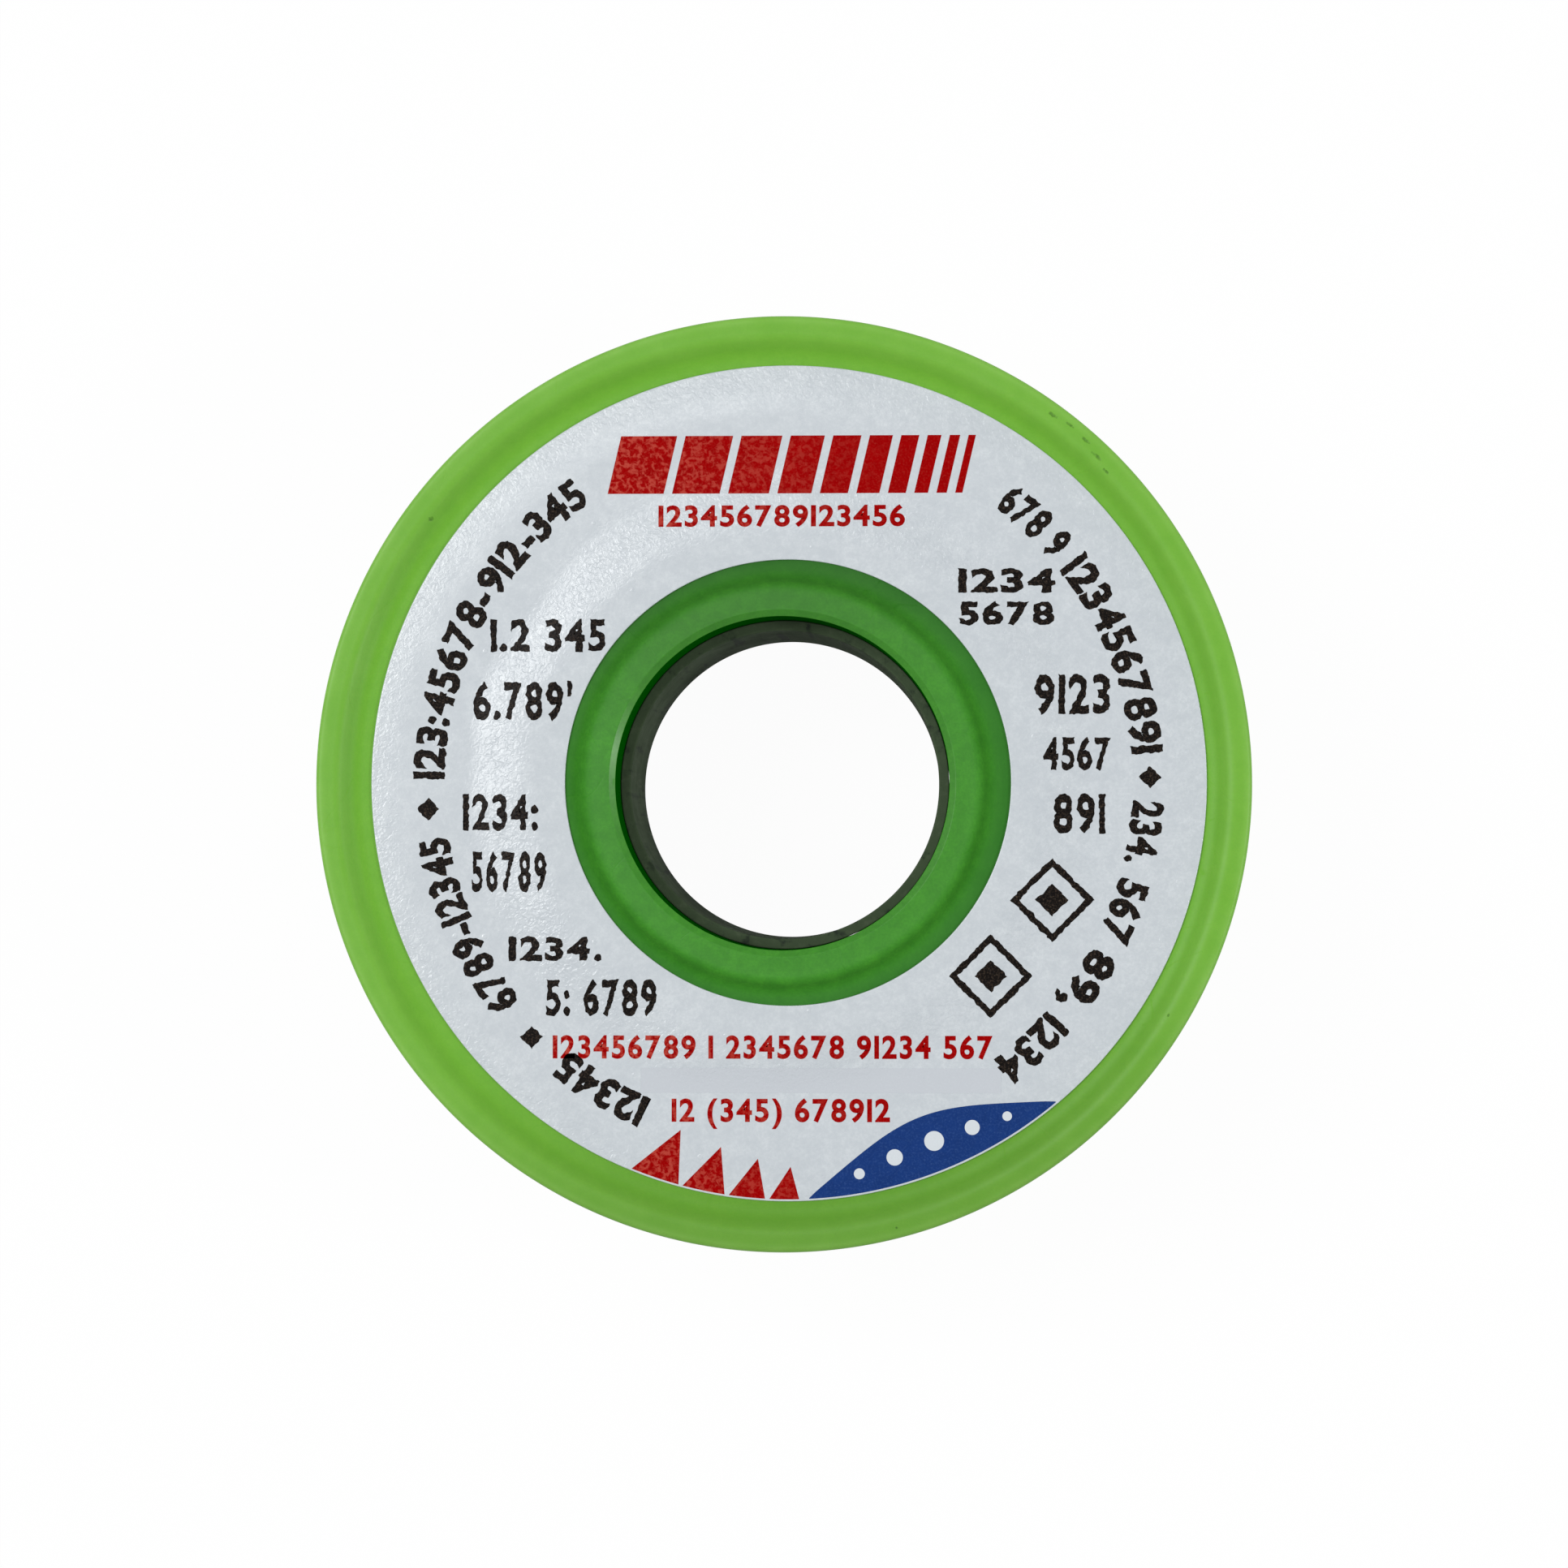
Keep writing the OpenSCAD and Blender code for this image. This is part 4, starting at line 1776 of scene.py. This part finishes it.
@dataclass
class Figures:
    """Flat digits and plain marks in the heights and weights that the print uses."""

    weight: float = 0.0
    gap: float = 0.12
    space: float = 0.3
    curve_steps: int = 6
    weld: float = 1e-5
    cache: dict[str, Flat] = field(default_factory=dict)

    def glyph(self, mark: str) -> Flat:
        """One mark in the font's own units, made once.

        Args:
            mark: The digit or plain mark.

        Returns:
            The mark as a flat figure.
        """
        if mark not in self.cache:
            text = bpy.data.curves.new("figure", "FONT")
            text.body = mark
            text.offset = self.weight
            text.resolution_u = self.curve_steps
            holder = linked("figure", text)
            edited = bmesh.new()
            edited.from_mesh(evaluated(holder))
            bmesh.ops.remove_doubles(edited, verts=edited.verts, dist=self.weld)
            bmesh.ops.dissolve_degenerate(edited, dist=self.weld, edges=edited.edges)
            for face in edited.faces:
                if face.normal.z < 0:
                    face.normal_flip()
            edited.verts.index_update()
            points = [(v.co.x, v.co.y) for v in edited.verts]
            faces = [tuple(v.index for v in f.verts) for f in edited.faces]
            edited.free()
            bpy.data.objects.remove(holder)
            bpy.data.curves.remove(text)
            self.cache[mark] = Flat(points, faces)
        return self.cache[mark]

    def digit_height(self) -> float:
        """Height of a plain digit in the font's own units."""
        heights = [y for _, y in self.glyph("1").points]
        return max(heights) - min(heights)

    def line(self, marks: str, left: float, right: float, foot: float, height: float) -> list[Flat]:
        """Sets marks in a line, widened or narrowed together so that they run from one side to the other.

        Args:
            marks: Digits, plain marks and spaces.
            left: Where the line starts, in millimetres.
            right: Where it ends.
            foot: Height of its foot on the label.
            height: Height of a digit.

        Returns:
            The line's figures.
        """
        scale = height / self.digit_height()
        spans = [(0.0, self.space * height) if mark == " " else self.span(mark, scale) for mark in marks]
        gap = self.gap * height
        fit = (right - left - gap * (len(marks) - 1)) / sum(end - start for start, end in spans)
        made, edge = [], left
        for mark, (start, end) in zip(marks, spans):
            if mark != " ":

                def place(x: float, y: float, edge: float = edge, start: float = start) -> Point2:
                    """Moves a point of the mark to its place in the line."""
                    return edge + (x * scale - start) * fit, foot + y * scale

                made.append(self.glyph(mark).placed(place))
            edge += (end - start) * fit + gap
        return made

    def span(self, mark: str, scale: float) -> Point2:
        """Left and right side of a mark at a scale."""
        sides = [x * scale for x, _ in self.glyph(mark).points]
        return min(sides), max(sides)

    def arc(self, marks: str, start: float, end: float, foot_r: float, height: float) -> list[Flat]:
        """Sets marks round a circle, clockwise, with their heads outward.

        Args:
            marks: Digits, plain marks and spaces.
            start: Angle at which they start, in degrees.
            end: Angle at which they end.
            foot_r: Radius of the line's foot, in millimetres.
            height: Height of a digit.

        Returns:
            The line's figures.
        """
        middle_r = foot_r + height / 2
        length = math.radians(start - end) * middle_r
        made = []
        for figure in self.line(marks, 0.0, length, 0.0, height):
            xs = [x for x, _ in figure.points]
            centre = (min(xs) + max(xs)) / 2
            angle = math.radians(start) - centre / middle_r

            def place(x: float, y: float, centre: float = centre, angle: float = angle) -> Point2:
                """Turns a point of the straight line onto the circle."""
                across, out = x - centre, foot_r + y
                sine, cosine = math.sin(angle), math.cos(angle)
                return out * cosine + across * sine, out * sine - across * cosine

            made.append(figure.placed(place))
        return made


class Ink(Enum):
    """The inks of the print, each with the record's slot and the name of its piece."""

    BLACK = ("ink_black", "print_black")
    RED = ("ink_red", "print_red")
    BLUE = ("ink_blue", "print_blue")
    GREY = ("ink_grey", "print_grey")
    WHITE = ("label_film", "print_white")


@dataclass
class Label:
    """The annular label on the front flange, and its plain print."""

    sizes: SpoolSizes
    segments: int = 384
    ring_foot_r: float = 20.3
    ring_height: float = 1.85
    ink_t: float = 0.012
    ink_depth: float = 0.03
    white_over: float = 0.006
    ragged_step: float = 0.13
    ragged_by: float = 0.09
    ragged_seed: int = 5
    edge_margin: float = 0.12
    edge_round: float = 0.05
    mark_reach: float = 0.66
    prints: dict[Ink, list[Flat]] = field(default_factory=lambda: {ink: [] for ink in Ink})

    def rim_figures(self) -> None:
        """Groups of digits round the edge, with plain lozenges between some of them."""
        bold = Figures(weight=0.04, gap=0.08)
        groups = [
            ("12345", 246.5, 230.9),
            ("6789-12345", 218.9, 189.0),
            ("123:45678-912-345", 179.4, 125.2),
            ("678 9", 52.9, 40.2),
            ("1234567891", 37.9, 4.6),
            ("234.", -3.0, -13.2),
            ("567", -15.9, -26.0),
            ("89,", -28.4, -39.0),
            ("1234", -41.4, -53.6),
        ]
        for marks, start, end in groups:
            self.prints[Ink.BLACK] += bold.arc(marks, start, end, self.ring_foot_r, self.ring_height)
        middle_r = self.ring_foot_r + self.ring_height / 2
        for angle in (224.8, 184.2, 0.8):
            self.prints[Ink.BLACK].append(lozenge(*polar(middle_r, angle), self.mark_reach))

    def columns(self) -> None:
        """Short lines of digits on both sides of the hub."""
        plain = Figures(weight=0.032, gap=0.1)
        wide = Figures(weight=0.04, gap=0.16)
        rows = [
            (plain, "1.2 345", -17.5, -10.7, 7.8, 1.9),
            (plain, "6.789'", -18.5, -12.7, 3.8, 2.2),
            (plain, "1234:", -19.1, -14.7, -2.7, 2.1),
            (plain, "56789", -18.6, -14.2, -6.3, 2.3),
            (wide, "1234.", -16.4, -10.9, -10.4, 1.4),
            (plain, "5: 6789", -14.2, -7.7, -13.6, 2.1),
            (wide, "1234", 10.0, 15.7, 11.2, 1.4),
            (wide, "5678", 10.1, 15.6, 9.3, 1.35),
            (plain, "9123", 14.5, 18.9, 4.1, 2.3),
            (plain, "4567", 15.0, 18.9, 0.8, 1.9),
            (plain, "891", 15.6, 18.6, -2.9, 2.3),
        ]
        for figures, marks, left, right, foot, height in rows:
            self.prints[Ink.BLACK] += figures.line(marks, left, right, foot, height)

    def red_lines(self) -> None:
        """The band of slanted bars at the top and the three thin lines of red digits."""
        low, high, slant, gap = 17.0, 20.4, 0.8, 0.5
        left = -10.6
        for width in (3.3, 2.8, 2.4, 2.0, 1.65, 1.35, 1.05, 0.8, 0.6, 0.42):
            self.prints[Ink.RED].append(Flat.bar(left, left + width, low, high, slant))
            left += width + gap
        thin = Figures(weight=0.03, gap=0.14)
        rows = [
            ("123456789123456", -7.6, 6.9, 15.1, 1.25),
            ("123456789 1 2345678 91234 567", -13.8, 12.0, -16.15, 1.35),
            ("12 (345) 678912", -6.8, 6.0, -19.85, 1.35),
        ]
        for row in rows:
            self.prints[Ink.RED] += thin.line(*row)

    def diamonds(self) -> None:
        """Two plain diamonds, each with a smaller one inside."""
        reach, hollow, inner = 2.45, 1.95, 0.95
        for x, y in ((15.5, -6.9), (11.9, -11.35)):
            self.prints[Ink.BLACK].append(lozenge(x, y, reach, hollow))
            self.prints[Ink.BLACK].append(lozenge(x, y, inner))

    def band(self, start: float, end: float, outer: float, inner: Callable[[float], float]) -> Flat:
        """A curved band whose inner radius changes along it.

        Args:
            start: Angle at which it starts, in degrees.
            end: Angle at which it ends.
            outer: Its outer radius, in millimetres.
            inner: Gives the inner radius for a share of the way along.

        Returns:
            The band.
        """
        along = [0.0, *shares(40)]
        far_side = [polar(outer, start + (end - start) * t) for t in along]
        near_side = [polar(inner(t), start + (end - start) * t) for t in reversed(along)]
        return Flat.from_loops(far_side + near_side)

    def foot_design(self) -> None:
        """The design at the foot: a blue swell with white discs on its right, red pennants on its left."""
        edge = self.sizes.label_r - self.edge_margin
        start, end, depth = -87.0, -50.0, 3.3

        def swell(t: float) -> float:
            """Depth of the swell at a share of the way along."""
            return depth * math.sin(math.pi * t) ** 0.9

        self.prints[Ink.BLUE].append(self.band(start, end, edge, lambda t: edge - 0.05 - swell(t)))
        for t, r in ((0.2, 0.32), (0.35, 0.48), (0.52, 0.58), (0.68, 0.44), (0.82, 0.28)):
            middle = polar(edge - 0.1 - 0.5 * swell(t), start + (end - start) * t)
            self.prints[Ink.WHITE].append(Flat.disc(*middle, r))
        foot, gap = -112.0, 0.6
        for width, height in ((7.4, 3.1), (6.5, 2.7), (5.6, 2.3), (4.7, 1.9)):
            self.prints[Ink.RED].append(self.pennant(foot, foot + width - gap, edge, edge - height))
            foot += width

    def pennant(self, start: float, end: float, edge: float, tip: float) -> Flat:
        """A pennant that stands on the label's edge between two angles and leans forward to its tip."""
        foot = [polar(edge, start + (end - start) * t) for t in (0.0, *shares(8))]
        return Flat.from_loops([*foot, polar(tip, start + 0.72 * (end - start))])

    def grey_panel(self) -> None:
        """The faint grey panel between the lines at the foot."""
        self.prints[Ink.GREY].append(Flat.bar(-8.6, 12.5, -18.2, -16.75))

    def build(self, effects: Effects) -> None:
        """Builds and dresses the label and its print.

        Args:
            effects: The shared node groups.
        """
        s = self.sizes
        low, high = s.width - s.rim_h, s.label_top
        corners = [
            Corner(s.label_hole_r, low),
            Corner(s.label_r, low),
            Corner(s.label_r, high, self.edge_round),
            Corner(s.label_hole_r, high, self.edge_round),
        ]
        shift = Matrix.Translation((s.label_x * MM, s.label_y * MM, 0))
        paper = Solid.lathe("front_label_film", rounded(corners, 3), self.segments)
        paper.data.transform(shift)
        fit_out(paper, LabelFilm().material(effects), ["front_label"])
        self.rim_figures()
        self.columns()
        self.red_lines()
        self.diamonds()
        self.foot_design()
        self.grey_panel()
        finishes = {
            Ink.BLACK: PrintInk("ink_black", srgb(14, 10, 9), srgb(84, 70, 58)),
            Ink.RED: PrintInk(
                # The red ink's paler patches toward -X are a painted sheen.
                "ink_red", srgb(152, 0, 2), srgb(206, 96, 80), speckle=0.12, worn=0.5, gloss=0.015
            ),
            Ink.BLUE: PrintInk("ink_blue", srgb(22, 54, 116), srgb(52, 82, 138)),
            Ink.GREY: PrintInk("ink_grey", srgb(192, 197, 203), srgb(197, 203, 208), mottle=0.03),
            Ink.WHITE: PrintInk("ink_white", srgb(208, 214, 219), srgb(200, 207, 212), mottle=0.06),
        }
        noise.seed_set(self.ragged_seed)
        for ink, figures in self.prints.items():
            slot, name = ink.value
            top = high + self.ink_t + (self.white_over if ink is Ink.WHITE else 0.0)
            if ink is Ink.BLACK:
                figures = [figure.ragged(self.ragged_step, self.ragged_by) for figure in figures]
            piece = plates(name, figures, high - self.ink_depth, top)
            piece.data.transform(shift)
            fit_out(piece, finishes[ink].material(effects))


# --------------------------------------------------------------------------------------------------
# Floor, light and camera
# --------------------------------------------------------------------------------------------------


@dataclass(frozen=True)
class Lamp:
    """A square soft lamp: its place and size in metres, and its power in watts."""

    name: str
    place: tuple[float, float, float]
    size: float
    power: float


@dataclass
class Studio:
    """The white floor, the soft light and the camera over the label."""

    sizes: SpoolSizes
    lamps: tuple[Lamp, ...] = (
        Lamp("key_lamp", (-0.311, 0.101, 0.523), 0.28, 1.97),
        Lamp("fill_lamp", (0.309, -0.04, 0.261), 0.07, 0.48),
        Lamp("top_lamp", (-0.061, 0.168, 0.540), 0.08, 0.13),
    )
    ambient: float = 0.42
    shown_white: float = 0.965
    floor_half: float = 3.0
    floor_tone: float = 0.86
    camera_x: float = 10.2
    camera_y: float = -6.2
    camera_height: float = 250.0
    aim_x: float = 0.12
    aim_y: float = -0.06
    seen_width: float = 91.74
    sensor_width: float = 36.0
    clip: tuple[float, float] = (0.01, 10.0)

    def plain_ray(self, nodes: Nodes) -> Socket:
        """Tells the rays that show the background itself, from the camera, gloss or glass, from the others.

        Args:
            nodes: The nodes to work with.

        Returns:
            One for such a ray, or zero.
        """
        path = nodes.add("ShaderNodeLightPath").outputs
        seen = nodes.math("MAXIMUM", path["Is Camera Ray"], path["Is Glossy Ray"])
        return nodes.math("MAXIMUM", seen, path["Is Transmission Ray"])

    def floor(self) -> None:
        """A wide white floor that keeps the spool's shadow, and is clear from below."""
        half = self.floor_half / MM
        corners = [(-half, -half, 0), (half, -half, 0), (half, half, 0), (-half, half, 0)]
        plane = Solid.from_parts("floor", corners, [(0, 1, 2, 3)])
        material = bpy.data.materials.new("floor_white")
        nodes = Nodes.fresh(material)
        matt = nodes.add("ShaderNodeBsdfDiffuse", {"Color": (*(self.floor_tone,) * 3, 1)})
        white = nodes.add("ShaderNodeEmission", {"Color": (1, 1, 1, 1), "Strength": 1.0})
        share = nodes.math("MULTIPLY", self.plain_ray(nodes), self.shown_white)
        mixed = nodes.add("ShaderNodeMixShader", {0: share, 1: matt.outputs[0], 2: white.outputs[0]})
        below = nodes.add("ShaderNodeNewGeometry").outputs["Backfacing"]
        clear = nodes.add("ShaderNodeBsdfTransparent")
        sided = nodes.add("ShaderNodeMixShader", {0: below, 1: mixed.outputs[0], 2: clear.outputs[0]})
        nodes.add("ShaderNodeOutputMaterial", {"Surface": sided.outputs[0]})
        plane.data.materials.append(material)

    def world(self) -> None:
        """A white surround that lights the spool softly."""
        world = bpy.data.worlds.new("surround")
        bpy.context.scene.world = world
        nodes = Nodes.fresh(world)
        strength = nodes.ramp(self.plain_ray(nodes), 0.0, 1.0, (self.ambient, 1.0))
        light = nodes.add("ShaderNodeBackground", {"Color": (1, 1, 1, 1), "Strength": strength})
        nodes.add("ShaderNodeOutputWorld", {"Surface": light.outputs[0]})

    def light(self) -> None:
        """The soft lamps, each turned to the spool."""
        target = Vector((0, 0, self.sizes.width * MM))
        for lamp in self.lamps:
            data = bpy.data.lights.new(lamp.name, "AREA")
            data.size = lamp.size
            data.energy = lamp.power
            holder = linked(lamp.name, data)
            holder.location = lamp.place
            holder.rotation_euler = (target - holder.location).to_track_quat("-Z", "Y").to_euler()

    def camera(self) -> None:
        """The camera, nearly straight above the label, with the label's top at the top of the picture."""
        data = bpy.data.cameras.new("camera")
        data.sensor_width = self.sensor_width
        data.lens = self.sensor_width * self.camera_height / self.seen_width
        data.clip_start, data.clip_end = self.clip
        holder = linked("camera", data)
        face = Vector((0, 0, self.sizes.width * MM))
        eye = face + Vector((self.camera_x, self.camera_y, self.camera_height)) * MM
        look = (face + Vector((self.aim_x, self.aim_y, 0)) * MM - eye).normalized()
        right = look.cross(Vector((0, 1, 0))).normalized()
        up = right.cross(look)
        turned = Matrix((right, up, -look)).transposed().to_4x4()
        holder.matrix_world = Matrix.Translation(eye) @ turned
        bpy.context.scene.camera = holder

    def build(self) -> None:
        """Builds the studio."""
        bpy.context.scene.view_settings.view_transform = "Standard"
        self.camera()
        self.floor()
        self.world()
        self.light()


def main() -> None:
    """Builds the spool and its studio."""
    logging.basicConfig(level=logging.INFO, format="%(name)s: %(message)s")
    sizes = SpoolSizes.from_frame()
    Studio(sizes).build()
    effects = Effects()
    for part in (Flanges(sizes), Hub(sizes), CoreTube(sizes), Winding(sizes), Label(sizes)):
        part.build(effects)


if __name__ == "__main__":
    main()
